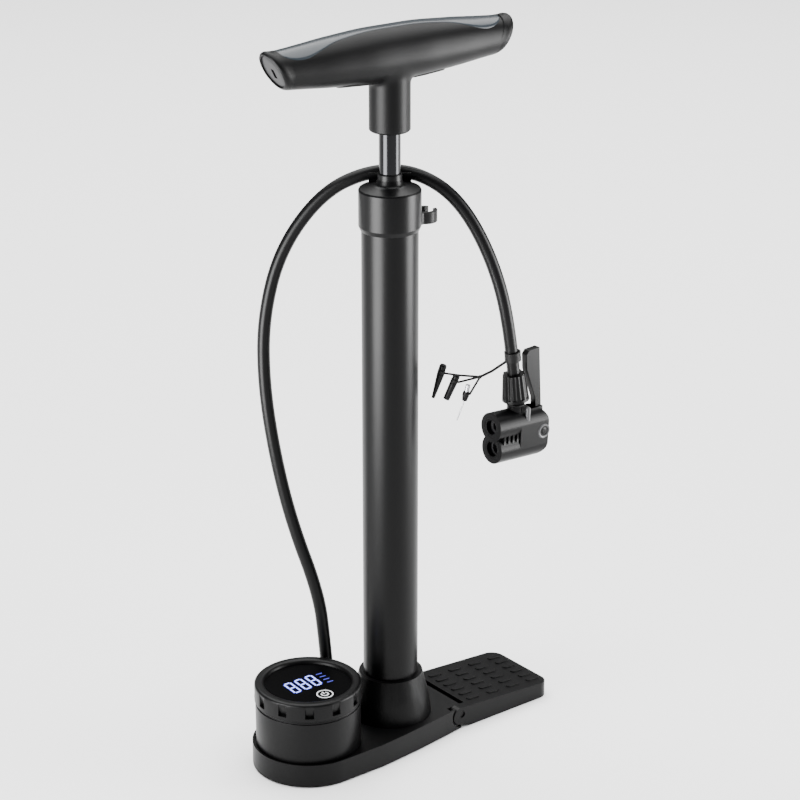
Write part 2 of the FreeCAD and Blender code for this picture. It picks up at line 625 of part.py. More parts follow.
# ---------------------------------------------------------------- plunger
def piston():
    rod_top = "handle_z + 2"
    rod = ring("piston_rod", "rod_radius", "rod_radius - rod_wall", "%s - piston_foot - 20" % rod_top,
               "piston_foot + 20")
    node(rod)
    head = new_body("piston_head")
    disc = new_sketch(head, "piston_disc", height="piston_foot")
    add_circle(disc, "barrel_radius - barrel_wall - 0.35")
    pad(head, disc, "12")
    neck = new_sketch(head, "piston_neck", height="piston_foot")
    add_circle(neck, "rod_radius - rod_wall - 0.04")
    pad(head, neck, "32")
    groove = new_sketch(head, "seal_groove_plan", height="piston_foot + 4")
    add_circle(groove, "barrel_radius")
    add_circle(groove, "barrel_radius - barrel_wall - 2.5")
    pocket(head, groove, "3.2")
    bore = new_sketch(head, "bolt_bore", height="piston_foot - 1")
    add_circle(bore, "3.05")
    pocket(head, bore, "40")
    node(head)
    node(torus("piston_seal", "barrel_radius - barrel_wall - 1.25", 1.2, "piston_foot + 5.6"))
    corners = [Vector(x, y, 0) for x, y in polar(6, 5.7)]
    bolt = Part.Face(Part.makePolygon(corners + corners[:1])).extrude(Vector(0, 0, 4.0))
    bolt = bolt.fuse(Part.makeCylinder(3.0, 24.0, Vector(0, 0, 3.9)))
    node(solid("piston_bolt", bolt, Placement(Vector(0, 0, size("piston_foot") - 4.05), Rotation())))
    node(ring("stroke_bumper", "rod_radius + 5", "rod_radius + 0.05", 6.0, "piston_foot + 24"))
    node(ring("piston_spacer", "rod_radius + 1.5", "rod_radius - rod_wall + 0.1", 7.9,
              "piston_foot + 12.05"))


HANDLE_SECTIONS = [(0.0, 17.9), (20.0, 17.8), (36.0, 16.8), (52.0, 15.6), (68.0, 14.0), (84.0, 12.6),
                   (101.0, 11.4)]
PAD_OUTLINE = [(0.0, 5.0), (24.0, 5.6), (43.0, 7.2), (57.0, 10.2), (68.0, 11.7), (78.0, 10.4), (85.0, 6.5)]
PAD_TIP = 88.5


def handle_bar(inset):
    """Barrel-shaped bar along X, centred on the handle's axis."""
    half = [(s, r - inset) for s, r in HANDLE_SECTIONS]
    stations = [(-s, r) for s, r in half[:0:-1]] + half
    wires = [Part.Wire(Part.makeCircle(r, Vector(s, 0, 0), Vector(1, 0, 0))) for s, r in stations]
    return Part.makeLoft(wires, True, False)


def end_trim():
    """Blocks that slant both ends of the bar, longer at the top."""
    blocks = []
    for sign in (1, -1):
        block = Part.makeBox(40, 60, 80, Vector(0, -30, -40))
        if sign < 0:
            block = Part.makeBox(40, 60, 80, Vector(-40, -30, -40))
        block.rotate(Vector(0, 0, 0), Vector(0, 1, 0), sign * size("handle_end_slant"))
        block.translate(Vector(sign * size("handle_end"), 0, 0))
        blocks.append(block)
    return blocks[0].fuse(blocks[1])


def pad_prism(grow):
    """Upright prism over the grip pad's hourglass plan."""
    quarter = [(s, y + grow) for s, y in PAD_OUTLINE]
    tip = PAD_TIP + grow
    front = [Vector(s, -y, 0) for s, y in quarter]
    front = [Vector(-p.x, p.y, 0) for p in front[:0:-1]] + front
    points = [Vector(-tip, 0, 0)] + front + [Vector(tip, 0, 0)] + [Vector(p.x, -p.y, 0) for p in front[::-1]]
    curve = Part.BSplineCurve()
    curve.interpolate(points, PeriodicFlag=True)
    prism = Part.Face(Part.Wire(curve.toShape())).extrude(Vector(0, 0, 40))
    prism.translate(Vector(size("pad_shift"), 0, 0))
    return prism


def handle():
    placement = Placement(Vector(0, 0, size("handle_z")), Rotation(Vector(0, 0, 1), size("handle_turn")))
    bar, trim = handle_bar(0), end_trim()
    drop = size("handle_z") - size("stem_foot")
    stem = Part.makeCylinder(size("stem_radius"), drop - 1.0, Vector(0, 0, 1.0 - drop))
    chamfer = Part.makeCone(size("stem_radius") - 1.0, size("stem_radius"), 1.0, Vector(0, 0, -drop))
    recess = bar.common(pad_prism(0.12)).cut(handle_bar(2.0))
    body = bar.cut(trim).fuse(stem).fuse(chamfer).cut(recess)
    rod_room = Part.makeCylinder(size("rod_radius") + 0.05, drop + 2.1, Vector(0, 0, -drop))
    screw_room = Part.makeCylinder(2.1, 12.0, Vector(0, 0, 2.0))
    head_room = Part.makeCylinder(4.1, 10.0, Vector(0, 0, 9.0))
    hollow = handle_bar(4.4).cut(Part.makeBox(32, 60, 60, Vector(-16, -30, -30)))
    body = body.cut(rod_room).cut(screw_room).cut(head_room).cut(hollow)
    node(solid("handle_body", body, placement))
    pad_skin = bar.common(pad_prism(0)).cut(handle_bar(1.9)).cut(trim)
    node(solid("grip_pad", pad_skin, placement))
    for name, sign in (("handle_end_cap_left", -1), ("handle_end_cap_right", 1)):
        node(solid(name, end_cap(sign), placement))
    bolt = Part.makeCylinder(4.0, 3.0, Vector(0, 0, 9.05)).fuse(Part.makeCylinder(2.0, 22.0, Vector(0, 0, -12.9)))
    node(solid("handle_screw", bolt, placement))
    plug = Part.makeCylinder(size("rod_radius") - size("rod_wall") - 0.05, 14.0, Vector(0, 0, -12.4))
    node(solid("rod_plug", plug.cut(Part.makeCylinder(2.05, 30.0, Vector(0, 0, -13.5))), placement))


def end_cap(sign):
    """Thin cover plate on the slanted end of the bar."""
    plate = Part.makeCylinder(9.0, 1.0, Vector(0, 0, 0), Vector(sign, 0, 0))
    slot = Part.makeBox(3.0, 6.0, 2.2, Vector(-1.5, -3.0, -1.1))
    plate = plate.cut(slot)
    plate.rotate(Vector(0, 0, 0), Vector(0, 1, 0), sign * size("handle_end_slant"))
    plate.translate(Vector(sign * (size("handle_end") + 0.05), 0, 0))
    return plate


# ---------------------------------------------------------------- hose
# corners of the route: along the loop plane, behind it, height
HOSE_ROUTE = [(-43, 0, 28), (-46, 1, 70), (-50, 3, 105), (-68, 6, 158), (-79, 9, 208), (-85.5, 12, 258),
              (-85, 15, 304), (-73, 17, 351), (-45, 18, 390), (-13, 18, 405.5), (18, 18, 404.5), (46, 18, 385.5),
              (68.5, 17, 344)]
HOSE_DROP = (53, 3)   # heights above the collar nut of the last corner and of the hose's end


def loop_point(along, behind, height):
    """A point of the hose's upright plane, turned into the pump's frame."""
    turn = math.radians(size("loop_turn"))
    return Vector(along * math.cos(turn) - behind * math.sin(turn),
                  along * math.sin(turn) + behind * math.cos(turn), height)


def rounded_path(points, share=0.45):
    """Straight runs joined by tangent arcs, each as large as its two runs allow."""
    edges, here = [], points[0]
    for before, corner, after in zip(points, points[1:], points[2:]):
        back, ahead = before - corner, after - corner
        reach = share * min(back.Length, ahead.Length)
        turn = math.pi - back.getAngle(ahead)
        radius = reach / math.tan(turn / 2)
        start = corner + back.normalize() * reach
        end = corner + ahead.normalize() * reach
        towards = (back + ahead).normalize()
        middle = corner + towards * (radius / math.cos(turn / 2) - radius)
        edges.append(Part.LineSegment(here, start).toShape())
        edges.append(Part.Arc(start, middle, end).toShape())
        here = end
    edges.append(Part.LineSegment(here, points[-1]).toShape())
    return Part.Wire(edges)


def chuck_frame():
    """Where the chuck hangs: its own origin at the foot of the collar nut, +Z up the hose."""
    turn = Rotation(Vector(0, 1, 0), size("chuck_tilt"))
    return Placement(Vector(size("chuck_x"), size("chuck_y"), size("chuck_z")), turn)


def hose_points():
    points = [loop_point(*corner) for corner in HOSE_ROUTE]
    return points + [chuck_frame().multVec(Vector(0, 0, above)) for above in HOSE_DROP]


def hose_tube(radius):
    """A round bar of the given radius along the hose's whole route."""
    points = hose_points()
    path = rounded_path(points)
    section = Part.Wire(Part.makeCircle(radius, points[0], points[1] - points[0]))
    return path.makePipeShell([section], True, False)


def hose():
    points = hose_points()
    radius = size("hose_radius")
    tube = hose_tube(radius)
    length = rounded_path(points).Length
    print("hose length %.1f mm, volume %.0f of %.0f mm3" % (length, tube.Volume, math.pi * radius ** 2 * length))
    node(solid("hose", tube))
    # swivelling foot, then the tapered sleeve that the hose leaves through
    start, lean = points[0], (points[1] - points[0]).normalize()
    foot = Part.makeCylinder(7.6, 4.0, Vector(GLAND.x, GLAND.y, size("deck_top") + 0.05))
    ball = Part.makeSphere(6.6, Vector(GLAND.x, GLAND.y, size("deck_top") + 4.0))
    neck = Part.makeCylinder(5.6, 8.0, start - lean * 8.05, lean)
    below = Part.makeBox(60, 60, 20, Vector(GLAND.x - 30, GLAND.y - 30, size("deck_top") - 19.95))
    gland = foot.multiFuse([ball, neck]).cut(below)
    gland = gland.cut(Part.makeCylinder(1.5, 12.0, Vector(GLAND.x, GLAND.y, size("deck_top") - 1)))
    node(solid("hose_gland", gland))
    sleeve = Part.makeCone(6.6, 5.4, 20.0, start, lean)
    sleeve = sleeve.cut(Part.makeCylinder(radius + 0.03, 40.0, start - lean * 2, lean))
    node(solid("hose_sleeve", sleeve))


# ---------------------------------------------------------------- chuck
def chuck_body_frame():
    """Frame of the chuck's body: it hangs a little crooked below the nut."""
    turn = Rotation(Vector(0, 1, 0), size("chuck_body_tilt"))
    return Placement(Vector(size("chuck_x"), size("chuck_y"), size("chuck_z")), turn)


def port_levels():
    upper_z = -size("neck_length") - size("port_radius")
    return upper_z, upper_z - size("port_pitch")


def port_faces():
    """Where each port begins along the body, and its level."""
    upper_z, lower_z = port_levels()
    face = size("chuck_face")
    return (face, upper_z), (face + size("lower_port_set_back"), lower_z)


def lever_pivot():
    upper_z, lower_z = port_levels()
    return Vector(18.2, 0, (upper_z + lower_z) / 2 + 1.2)


def fluted_nut():
    """Tapered collar nut with hollow flutes, wider at the chuck."""
    foot_radius, top_radius, low, length = 9.4, 7.75, 1.0, 19.2
    nut = Part.makeCone(foot_radius, top_radius, length, Vector(0, 0, low))
    flutes = [Part.makeCone(2.2, 2.0, 18.0, Vector(x, y, low + 2.0), Vector(-x * 0.1, -y * 0.1, 12.0))
              for x, y in polar(11, foot_radius + 0.9)]
    nut = nut.cut(flutes[0].multiFuse(flutes[1:]))
    return nut.cut(Part.makeCylinder(size("hose_radius") + 0.05, 30.0, Vector(0, 0, -1)))


def chuck_body_shape():
    """Two stacked round ports in front, joined by a finned waist, and one rounded block behind."""
    radius, pitch = size("port_radius"), size("port_pitch")
    upper_z, lower_z = port_levels()
    face, rear = size("chuck_face"), size("chuck_rear")
    along = Vector(1, 0, 0)
    length = rear - face
    waist_length, round_end, set_back = 18.5, 11.0, size("lower_port_set_back")
    upper = Part.makeCylinder(radius, length, Vector(face, 0, upper_z), along)
    lower = Part.makeCylinder(radius, length - set_back, Vector(face + set_back, 0, lower_z), along)
    web = Part.makeBox(length - waist_length, 2 * radius, pitch, Vector(face + waist_length, -radius, lower_z))
    waist = Part.makeBox(waist_length - set_back + 0.1, 10.0, pitch, Vector(face + set_back, -5.0, lower_z))
    middle_z = (upper_z + lower_z) / 2
    fins = [Part.makeBox(1.5, 18.4, pitch, Vector(face + 4.6 + 3.8 * k, -9.2, lower_z)) for k in range(4)]
    body = upper.multiFuse([lower, web, waist] + fins)
    # rounded rear, seen from the side
    high, low = upper_z + radius - round_end, lower_z - radius + round_end
    keep = Part.makeBox(length - round_end, 40, 60, Vector(face, -20, middle_z - 30))
    keep = keep.fuse(Part.makeBox(length, 40, high - low, Vector(face, -20, low)))
    for level in (high, low):
        keep = keep.fuse(Part.makeCylinder(round_end, 40, Vector(rear - round_end, -20, level), Vector(0, 1, 0)))
    return body.common(keep)


def chuck_neck(frame):
    """Barbed pipe from the body into the nut, and the seal under the nut."""
    top = -size("neck_length")
    barb = Part.makeCylinder(3.7, 16.4, Vector(0, 0, -14.5)).fuse(Part.makeCylinder(5.9, 5.5, Vector(0, 0, top - 3.5)))
    barb = barb.fuse(Part.makeCylinder(4.6, 2.8, Vector(0, 0, top + 1.9)))
    node(solid("chuck_barb", barb.cut(Part.makeCylinder(2.0, 18.0, Vector(0, 0, -15.0))), frame))
    node(solid("barb_seal", Part.makeTorus(5.5, 0.84, Vector(0, 0, top + 2.9)), frame))


def chuck_body(frame):
    """The body with its ports, passages, lever slot and pin hole."""
    upper_z, lower_z = port_levels()
    pivot, bore = lever_pivot(), size("port_bore")
    along, across = Vector(1, 0, 0), Vector(0, 1, 0)
    top = -size("neck_length")
    tools = [Part.makeCylinder(3.75, 9.0, Vector(0, 0, -16.0)), Part.makeCylinder(6.0, 6.0, Vector(0, 0, top - 3.6))]
    for start, level in port_faces():
        tools.append(Part.makeCylinder(bore, 17.0, Vector(start - 1, 0, level), along))
    tools.append(Part.makeCylinder(1.8, size("port_pitch"), Vector(-4.5, 0, lower_z)))
    tools.append(Part.makeBox(12.4, 9.4, 40.0, Vector(10.2, -4.7, pivot.z - 6.0)))
    tools.append(Part.makeCylinder(3.3, 10.0, Vector(0.8, 0, pivot.z), along))
    tools.append(Part.makeCylinder(1.52, 40.0, pivot - across * 20, across))
    body = chuck_body_shape()
    for tool in tools:
        body = body.cut(tool)
    node(solid("chuck_body", body, frame))
    half = size("port_radius") + 0.1
    node(solid("lever_pin", Part.makeCylinder(1.5, 2 * half, pivot - across * half, across), frame))
    node(solid("cam_follower", Part.makeCylinder(3.22, 10.2, Vector(3.4, 0, pivot.z), along), frame))


def chuck_ports(frame):
    """Screwed collar, rubber gasket and washer in each port."""
    bore = size("port_bore")
    along = Vector(1, 0, 0)
    for name, (face, level), mouth, grip in zip(("upper", "lower"), port_faces(), (5.0, 5.4), (3.0, 4.1)):
        rings = (("port_collar_", bore - 0.05, mouth, 0.1, 4.0), ("port_gasket_", bore - 0.1, grip, 4.2, 9.0),
                 ("port_washer_", bore - 0.1, 1.4, 13.3, 2.0))
        for label, outer, inner, inset, length in rings:
            start = Vector(face + inset, 0, level)
            piece = Part.makeCylinder(outer, length, start, along)
            piece = piece.cut(Part.makeCylinder(inner, length + 2, start - along, along))
            node(solid(label + name, piece, frame))


def chuck_lever(frame):
    """Cam lever, drawn upright round its own pivot; its paddle tapers down to the cam."""
    place = Placement(frame.multVec(lever_pivot()), Rotation(Vector(0, 1, 0), size("lever_tilt")))
    outline = [(4.6, 0), (4.6, 58.4), (-4.8, 58.4), (-7.4, 55.8), (-7.4, 45.0), (-0.6, 22.0), (-0.6, 0)]
    corners = [Vector(x, -2.6, z) for x, z in outline]
    paddle = Part.Face(Part.makePolygon(corners + corners[:1])).extrude(Vector(0, 5.2, 0))
    eye = Part.makeCylinder(4.6, 8.8, Vector(0, -4.4, 0), Vector(0, 1, 0))
    neck = Part.makeBox(5.2, 8.8, 16.0, Vector(-0.6, -4.4, 0))
    lever = eye.multiFuse([neck, paddle]).cut(Part.makeCylinder(1.56, 20.0, Vector(0, -10, 0), Vector(0, 1, 0)))
    node(solid("chuck_lever", lever, place))


def chuck():
    node(solid("collar_nut", fluted_nut(), chuck_frame()))
    frame = chuck_body_frame()
    chuck_neck(frame)
    chuck_body(frame)
    chuck_ports(frame)
    chuck_lever(frame)


# ---------------------------------------------------------------- strap and nozzles
def strap_and_nozzles():
    """Moulded strap round the hose that holds the spare nozzles."""
    ring_centre = chuck_frame().multVec(Vector(0, 0, 30.0))
    hose_axis = chuck_frame().Rotation.multVec(Vector(0, 0, 1))
    outer = Part.makeCylinder(5.6, 6.5, ring_centre, hose_axis)
    band = outer.cut(Part.makeCylinder(size("hose_radius") + 0.08, 20, ring_centre - hose_axis * 5, hose_axis))
    anchor = ring_centre + hose_axis * 1.5 + (STRAP_FORK - ring_centre).normalize() * 5.4
    arms = [rod_between(anchor, STRAP_BEND, 0.9), rod_between(STRAP_BEND, STRAP_FORK, 0.9),
            Part.makeSphere(0.9, STRAP_BEND), Part.makeSphere(1.3, STRAP_FORK)]
    eyes = []
    for top, tip, eye_at, eye_radius, way in NOZZLE_AXES:
        direction = (tip - top).normalize()
        centre = top + direction * eye_at
        route = [STRAP_FORK] + way
        side = route[-1] - centre
        side = (side - direction * side.dot(direction)).normalize()
        route.append(centre + side * (eye_radius + 0.9))
        for start, end in zip(route, route[1:]):
            arms += [rod_between(start, end, 0.75), Part.makeSphere(0.75, start)]
        eye = Part.makeCylinder(eye_radius + 0.9, 2.4, centre - direction * 1.2, direction)
        eyes.append((eye, Part.makeCylinder(eye_radius + 0.04, 8.0, centre - direction * 4, direction)))
    strap = band.multiFuse(arms + [eye for eye, bore in eyes])
    for eye, bore in eyes:
        strap = strap.cut(bore)
    node(solid("accessory_strap", strap))
    nozzles()


# each nozzle: top, tip, distance of the strap's eye from the top, radius of the neck it grips,
# points that the strap's arm passes between the fork and the eye
STRAP_BEND = Vector(63.3, -31.0, 265.4)
STRAP_FORK = Vector(57.0, -26.0, 261.2)
NOZZLE_AXES = [(Vector(37.6, -10.6, 270.0), Vector(32.1, -6.3, 246.1), 5.5, 1.7, [Vector(43.1, -19.1, 263.6)]),
               (Vector(44.8, -16.2, 262.4), Vector(39.0, -11.6, 244.6), 4.6, 1.7, []),
               (Vector(50.2, -20.7, 252.8), Vector(48.7, -19.4, 243.4), 4.2, 1.5, [])]


def turned(top, tip, steps):
    """Round piece from (distance, radius, radius, length) steps along its axis."""
    direction = (tip - top).normalize()
    parts = []
    for at, first, last, length in steps:
        start = top + direction * at
        if abs(first - last) < 1e-6:
            parts.append(Part.makeCylinder(first, length, start, direction))
        else:
            parts.append(Part.makeCone(first, last, length, start, direction))
    return parts[0].multiFuse(parts[1:]) if len(parts) > 1 else parts[0]


def nozzles():
    top, tip, _, neck, _ = NOZZLE_AXES[0]
    short_top, short_tip = NOZZLE_AXES[1][:2]
    hub_top, hub_tip, _, hub_neck, _ = NOZZLE_AXES[2]
    cone_nozzle = turned(top, tip, [(0, 2.0, 2.5, 1.2), (1.2, 2.5, 2.5, 2.4), (3.6, neck, neck, 4.0),
                                    (7.2, 2.6, 1.1, 17.8)])
    node(solid("cone_nozzle", cone_nozzle))
    blunt = turned(short_top, short_tip, [(0, 2.0, 2.4, 1.0), (1.0, 2.4, 2.4, 2.0), (3.0, neck, neck, 3.4),
                                          (6.2, 2.5, 2.2, 12.6)])
    node(solid("blunt_nozzle", blunt))
    direction = (hub_tip - hub_top).normalize()
    node(solid("needle_thread", turned(hub_top, hub_tip, [(-2.6, 1.6, 1.6, 4.6)])))
    hub = turned(hub_top, hub_tip, [(2.0, 1.9, 1.9, 0.9), (2.9, hub_neck, hub_neck, 2.7), (5.5, 2.3, 1.7, 3.4)])
    node(solid("needle_hub", hub))
    needle_start = hub_top + direction * 8.9
    node(solid("ball_needle", Part.makeCylinder(0.45, 15.4, needle_start, Vector(44.9, -16.4, 229.6) - needle_start)))


# ---------------------------------------------------------------- build and write
base_shell()
rubber_feet()
base_screws()
valve_block()
check_valve()
air_duct()
foot_tread()
gauge_housing()
gauge_bezel()
gauge_inside()
barrel()
top_cap()
hose_saddle()
chuck_hook()
piston()
handle()
hose()
chuck()
strap_and_nozzles()
doc.recompute()

for piece in doc.Objects:
    if "Invalid" in piece.State or "Error" in piece.State:
        raise RuntimeError("failed: " + piece.Label)
os.makedirs("parts", exist_ok=True)
for piece in NODES:
    if piece.Shape.isNull() or not piece.Shape.isValid():
        raise RuntimeError("bad shape: " + piece.Label)
    piece.Shape.exportStep("parts/%s.step" % piece.Label)
print("wrote", len(NODES), "sub-parts")
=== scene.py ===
"""Floor bike pump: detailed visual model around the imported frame.  Lengths in the script are millimetres."""
import json
import math

import bmesh
import bpy
from mathutils import Matrix, Vector


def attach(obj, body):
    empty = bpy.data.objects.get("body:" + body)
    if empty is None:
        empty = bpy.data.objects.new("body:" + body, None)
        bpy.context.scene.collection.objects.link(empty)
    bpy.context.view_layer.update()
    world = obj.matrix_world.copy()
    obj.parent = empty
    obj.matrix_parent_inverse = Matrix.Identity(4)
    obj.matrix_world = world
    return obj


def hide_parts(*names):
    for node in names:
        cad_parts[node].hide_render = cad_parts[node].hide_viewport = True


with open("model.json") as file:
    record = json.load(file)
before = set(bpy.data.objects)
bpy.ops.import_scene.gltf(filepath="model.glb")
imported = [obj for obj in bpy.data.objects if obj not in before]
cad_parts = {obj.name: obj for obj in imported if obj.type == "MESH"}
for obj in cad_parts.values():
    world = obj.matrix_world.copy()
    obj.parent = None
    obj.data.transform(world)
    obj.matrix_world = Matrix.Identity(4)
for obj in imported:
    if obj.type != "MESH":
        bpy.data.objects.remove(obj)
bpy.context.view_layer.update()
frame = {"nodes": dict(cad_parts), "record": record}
MM = 0.001


# ---------------------------------------------------------------- materials
GRAIN_RELIEF = 0.0002
SMEAR_SCALE = 22.0


def surface(name, colour, roughness, metallic=0.0, specular=0.5, grain=None, wear=0.0):
    """Plain surface; grain is (size in mm, depth) of a fine moulded texture, wear varies the gloss."""
    material = bpy.data.materials.new(name)
    material.use_nodes = True
    nodes, links = material.node_tree.nodes, material.node_tree.links
    shader = nodes["Principled BSDF"]
    shader.inputs["Base Color"].default_value = (*colour, 1.0)
    shader.inputs["Roughness"].default_value = roughness
    shader.inputs["Metallic"].default_value = metallic
    shader.inputs["Specular IOR Level"].default_value = specular
    place = nodes.new("ShaderNodeTexCoord")
    if grain:
        grain_size, depth = grain
        noise = nodes.new("ShaderNodeTexNoise")
        noise.inputs["Scale"].default_value = 1.0 / (grain_size * MM)
        noise.inputs["Detail"].default_value = 2.0
        bump = nodes.new("ShaderNodeBump")
        bump.inputs["Strength"].default_value = depth
        bump.inputs["Distance"].default_value = GRAIN_RELIEF
        links.new(place.outputs["Object"], noise.inputs["Vector"])
        links.new(noise.outputs["Fac"], bump.inputs["Height"])
        links.new(bump.outputs["Normal"], shader.inputs["Normal"])
    if wear:
        smear = nodes.new("ShaderNodeTexNoise")
        smear.inputs["Scale"].default_value = SMEAR_SCALE
        smear.inputs["Detail"].default_value = 3.0
        spread = nodes.new("ShaderNodeMapRange")
        spread.inputs["To Min"].default_value = roughness - wear
        spread.inputs["To Max"].default_value = roughness + wear
        links.new(place.outputs["Object"], smear.inputs["Vector"])
        links.new(smear.outputs["Fac"], spread.inputs["Value"])
        links.new(spread.outputs["Result"], shader.inputs["Roughness"])
    return material


def glowing(name, colour, strength):
    """Surface that shines in its own colour."""
    material = bpy.data.materials.new(name)
    material.use_nodes = True
    shader = material.node_tree.nodes["Principled BSDF"]
    shader.inputs["Base Color"].default_value = (*colour, 1.0)
    shader.inputs["Roughness"].default_value = 0.4
    shader.inputs["Emission Color"].default_value = (*colour, 1.0)
    shader.inputs["Emission Strength"].default_value = strength
    return material


BLACK = (0.0005, 0.0005, 0.0006)
DEEP_BLACK = (0.0004, 0.0004, 0.0005)
SATIN = surface("satin_black_plastic", BLACK, 0.36, specular=0.13, grain=(0.7, 0.12), wear=0.04)
FOOT = surface("foot_black_plastic", BLACK, 0.38, specular=0.12, grain=(0.6, 0.2), wear=0.05)
GLOSS = surface("gloss_black_plastic", DEEP_BLACK, 0.34, specular=0.10, wear=0.03)
CAP = surface("cap_black_plastic", DEEP_BLACK, 0.33, specular=0.12, wear=0.03)
HANDLE = surface("handle_black_rubber", (0.0006, 0.0006, 0.0007), 0.42, specular=0.10, grain=(0.5, 0.2),
                 wear=0.05)
GRIP = surface("grip_grey_rubber", (0.012, 0.016, 0.020), 0.26, specular=0.3, wear=0.03)
END_PLATE = surface("end_plate_grey", (0.0045, 0.0045, 0.0050), 0.4, specular=0.25, grain=(0.8, 0.1))
TUBE = surface("barrel_satin_black", DEEP_BLACK, 0.33, specular=0.12, grain=(0.25, 0.04), wear=0.03)
# chrome rod: its metal colour is darkened almost to black, a painted dark reflection of dark surroundings
CHROME = surface("chrome_rod_painted_dark_reflection", (0.016, 0.016, 0.017), 0.16, metallic=1.0, specular=0.1, wear=0.02)
STEEL = surface("zinc_steel", (0.40, 0.40, 0.42), 0.30, metallic=1.0, grain=(0.4, 0.15), wear=0.05)
BRASS = surface("turned_brass", (0.50, 0.38, 0.20), 0.28, metallic=1.0, grain=(0.3, 0.1))
RUBBER = surface("hose_rubber", (0.0007, 0.0007, 0.0008), 0.34, specular=0.12, grain=(0.4, 0.2), wear=0.05)
SOFT_RUBBER = surface("matte_rubber", (0.0010, 0.0010, 0.0010), 0.5, specular=0.15, grain=(0.5, 0.3))
HOOK = surface("hook_plastic", (0.0015, 0.0015, 0.0016), 0.42, specular=0.18, grain=(0.7, 0.15))
INNER = surface("inner_nylon", (0.02, 0.02, 0.022), 0.5, grain=(0.8, 0.1))
GASKET = surface("gasket_grey_rubber", (0.006, 0.006, 0.0065), 0.5, specular=0.2, grain=(0.5, 0.2))
BOARD = surface("board_green", (0.01, 0.08, 0.03), 0.4, grain=(0.6, 0.1))
WINDOW = surface("black_window", (0.0003, 0.0003, 0.0004), 0.35, specular=0.02)
PRINT = surface("white_print", (0.62, 0.63, 0.65), 0.45)
# lighter grey for the chuck's upright pin and the lever pin's rims: partly their own grey, partly a painted
# highlight
PIN_GLINT_GREY = surface("pin_grey_painted_glint", (0.035, 0.035, 0.037), 0.35, specular=0.4, grain=(0.4, 0.1))
DIGIT = glowing("lit_digit", (0.40, 0.50, 1.0), 1.0)
UNIT = glowing("unit_mark", (0.035, 0.040, 0.34), 0.7)
HALO = glowing("digit_halo", (0.008, 0.010, 0.36), 0.6)

SLOT_MATERIALS = {
    "satin_black": SATIN, "gloss_black": GLOSS, "handle_black": HANDLE, "pad_grey": GRIP,
    "cap_grey": END_PLATE, "tube_black": TUBE, "rod_chrome": CHROME, "rubber_black": SOFT_RUBBER,
    "hook_grey": HOOK, "inner_plastic": INNER, "steel": STEEL, "brass": BRASS, "nozzle_black": SATIN,
    "window": WINDOW, "display": WINDOW, "button": GLOSS, "board": BOARD}


def paint_frame():
    """Every CAD piece gets the material of its slot."""
    for part in frame["record"]["subparts"]:
        mesh = frame["nodes"][part["node"]].data
        mesh.materials.clear()
        mesh.materials.append(SLOT_MATERIALS[part["material_slot"]])


# ---------------------------------------------------------------- mesh helpers
def add_piece(name, mesh, material, body="frame", replaced=(), sharp=35.0):
    """Visible piece that rides on a body and stands in for the replaced CAD pieces."""
    piece = bpy.data.objects.new(name, mesh)
    bpy.context.scene.collection.objects.link(piece)
    mesh.materials.clear()
    mesh.materials.append(material)
    mesh.shade_smooth()
    mesh.set_sharp_from_angle(angle=math.radians(sharp))
    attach(piece, body)
    if replaced:
        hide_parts(*replaced)
    return piece


def mesh_from(name, points, faces, place=None):
    """Mesh from points in millimetres, moved by the matrix place, whose lengths are millimetres too."""
    mesh = bpy.data.meshes.new(name)
    place = place or Matrix.Identity(4)
    mesh.from_pydata([(place @ Vector(p)) * MM for p in points], [], faces)
    mesh.validate()
    cleaned = bmesh.new()
    cleaned.from_mesh(mesh)
    bmesh.ops.remove_doubles(cleaned, verts=cleaned.verts, dist=1e-7)
    bmesh.ops.recalc_face_normals(cleaned, faces=cleaned.faces)
    cleaned.to_mesh(mesh)
    cleaned.free()
    return mesh


FILLET_STEPS = 5


def rounded(corners):
    """Line through (a, b, fillet radius) corners, with the inner corners rounded."""
    line = [Vector(corners[0][:2])]
    for before, corner, after in zip(corners, corners[1:], corners[2:]):
        here, radius = Vector(corner[:2]), corner[2]
        back, ahead = Vector(before[:2]) - here, Vector(after[:2]) - here
        turn = math.pi - back.angle(ahead)
        if radius <= 0 or turn < 0.02:
            line.append(here)
            continue
        reach = min(radius * math.tan(turn / 2), 0.45 * back.length, 0.45 * ahead.length)
        start, end = here + back.normalized() * reach, here + ahead.normalized() * reach
        for k in range(FILLET_STEPS + 1):
            t = k / FILLET_STEPS
            line.append(start * (1 - t) ** 2 + here * 2 * t * (1 - t) + end * t ** 2)
    line.append(Vector(corners[-1][:2]))
    return line


def grid_faces(rows, columns, closed=True):
    """Faces between rows of points; in a closed grid the last column meets the first."""
    faces = []
    last = columns if closed else columns - 1
    for i in range(rows - 1):
        for j in range(last):
            k = (j + 1) % columns
            faces.append((i * columns + j, i * columns + k, (i + 1) * columns + k, (i + 1) * columns + j))
    return faces


def row_face(row, columns):
    """One face over a whole row of a grid."""
    return tuple(row * columns + j for j in range(columns))


def circle(radius, count):
    """Points (x, y) evenly round a circle."""
    angles = [2 * math.pi * j / count for j in range(count)]
    return [(radius * math.cos(angle), radius * math.sin(angle)) for angle in angles]


LARGE_ROUND = 144
SMALL_ROUND = 72


def lathe(name, corners, place=None, segments=96, closed=True):
    """Turned mesh from (radius, height, fillet) corners; one that isn't closed gets a face over each end."""
    line = rounded(corners)
    points = [(x, y, height) for radius, height in line for x, y in circle(radius, segments)]
    faces = grid_faces(len(line), segments)
    if not closed:
        faces += [row_face(0, segments), row_face(len(line) - 1, segments)]
    return mesh_from(name, points, faces, place)


def joined(name, meshes):
    """One mesh of several."""
    work = bmesh.new()
    for mesh in meshes:
        work.from_mesh(mesh)
    whole = bpy.data.meshes.new(name)
    work.to_mesh(whole)
    work.free()
    return whole


def at(x, y, z):
    return Matrix.Translation(Vector((x, y, z)))


def along(start, direction):
    """Place whose own Z axis lies along the direction."""
    return at(*start) @ Vector(direction).to_track_quat("Z", "Y").to_matrix().to_4x4()


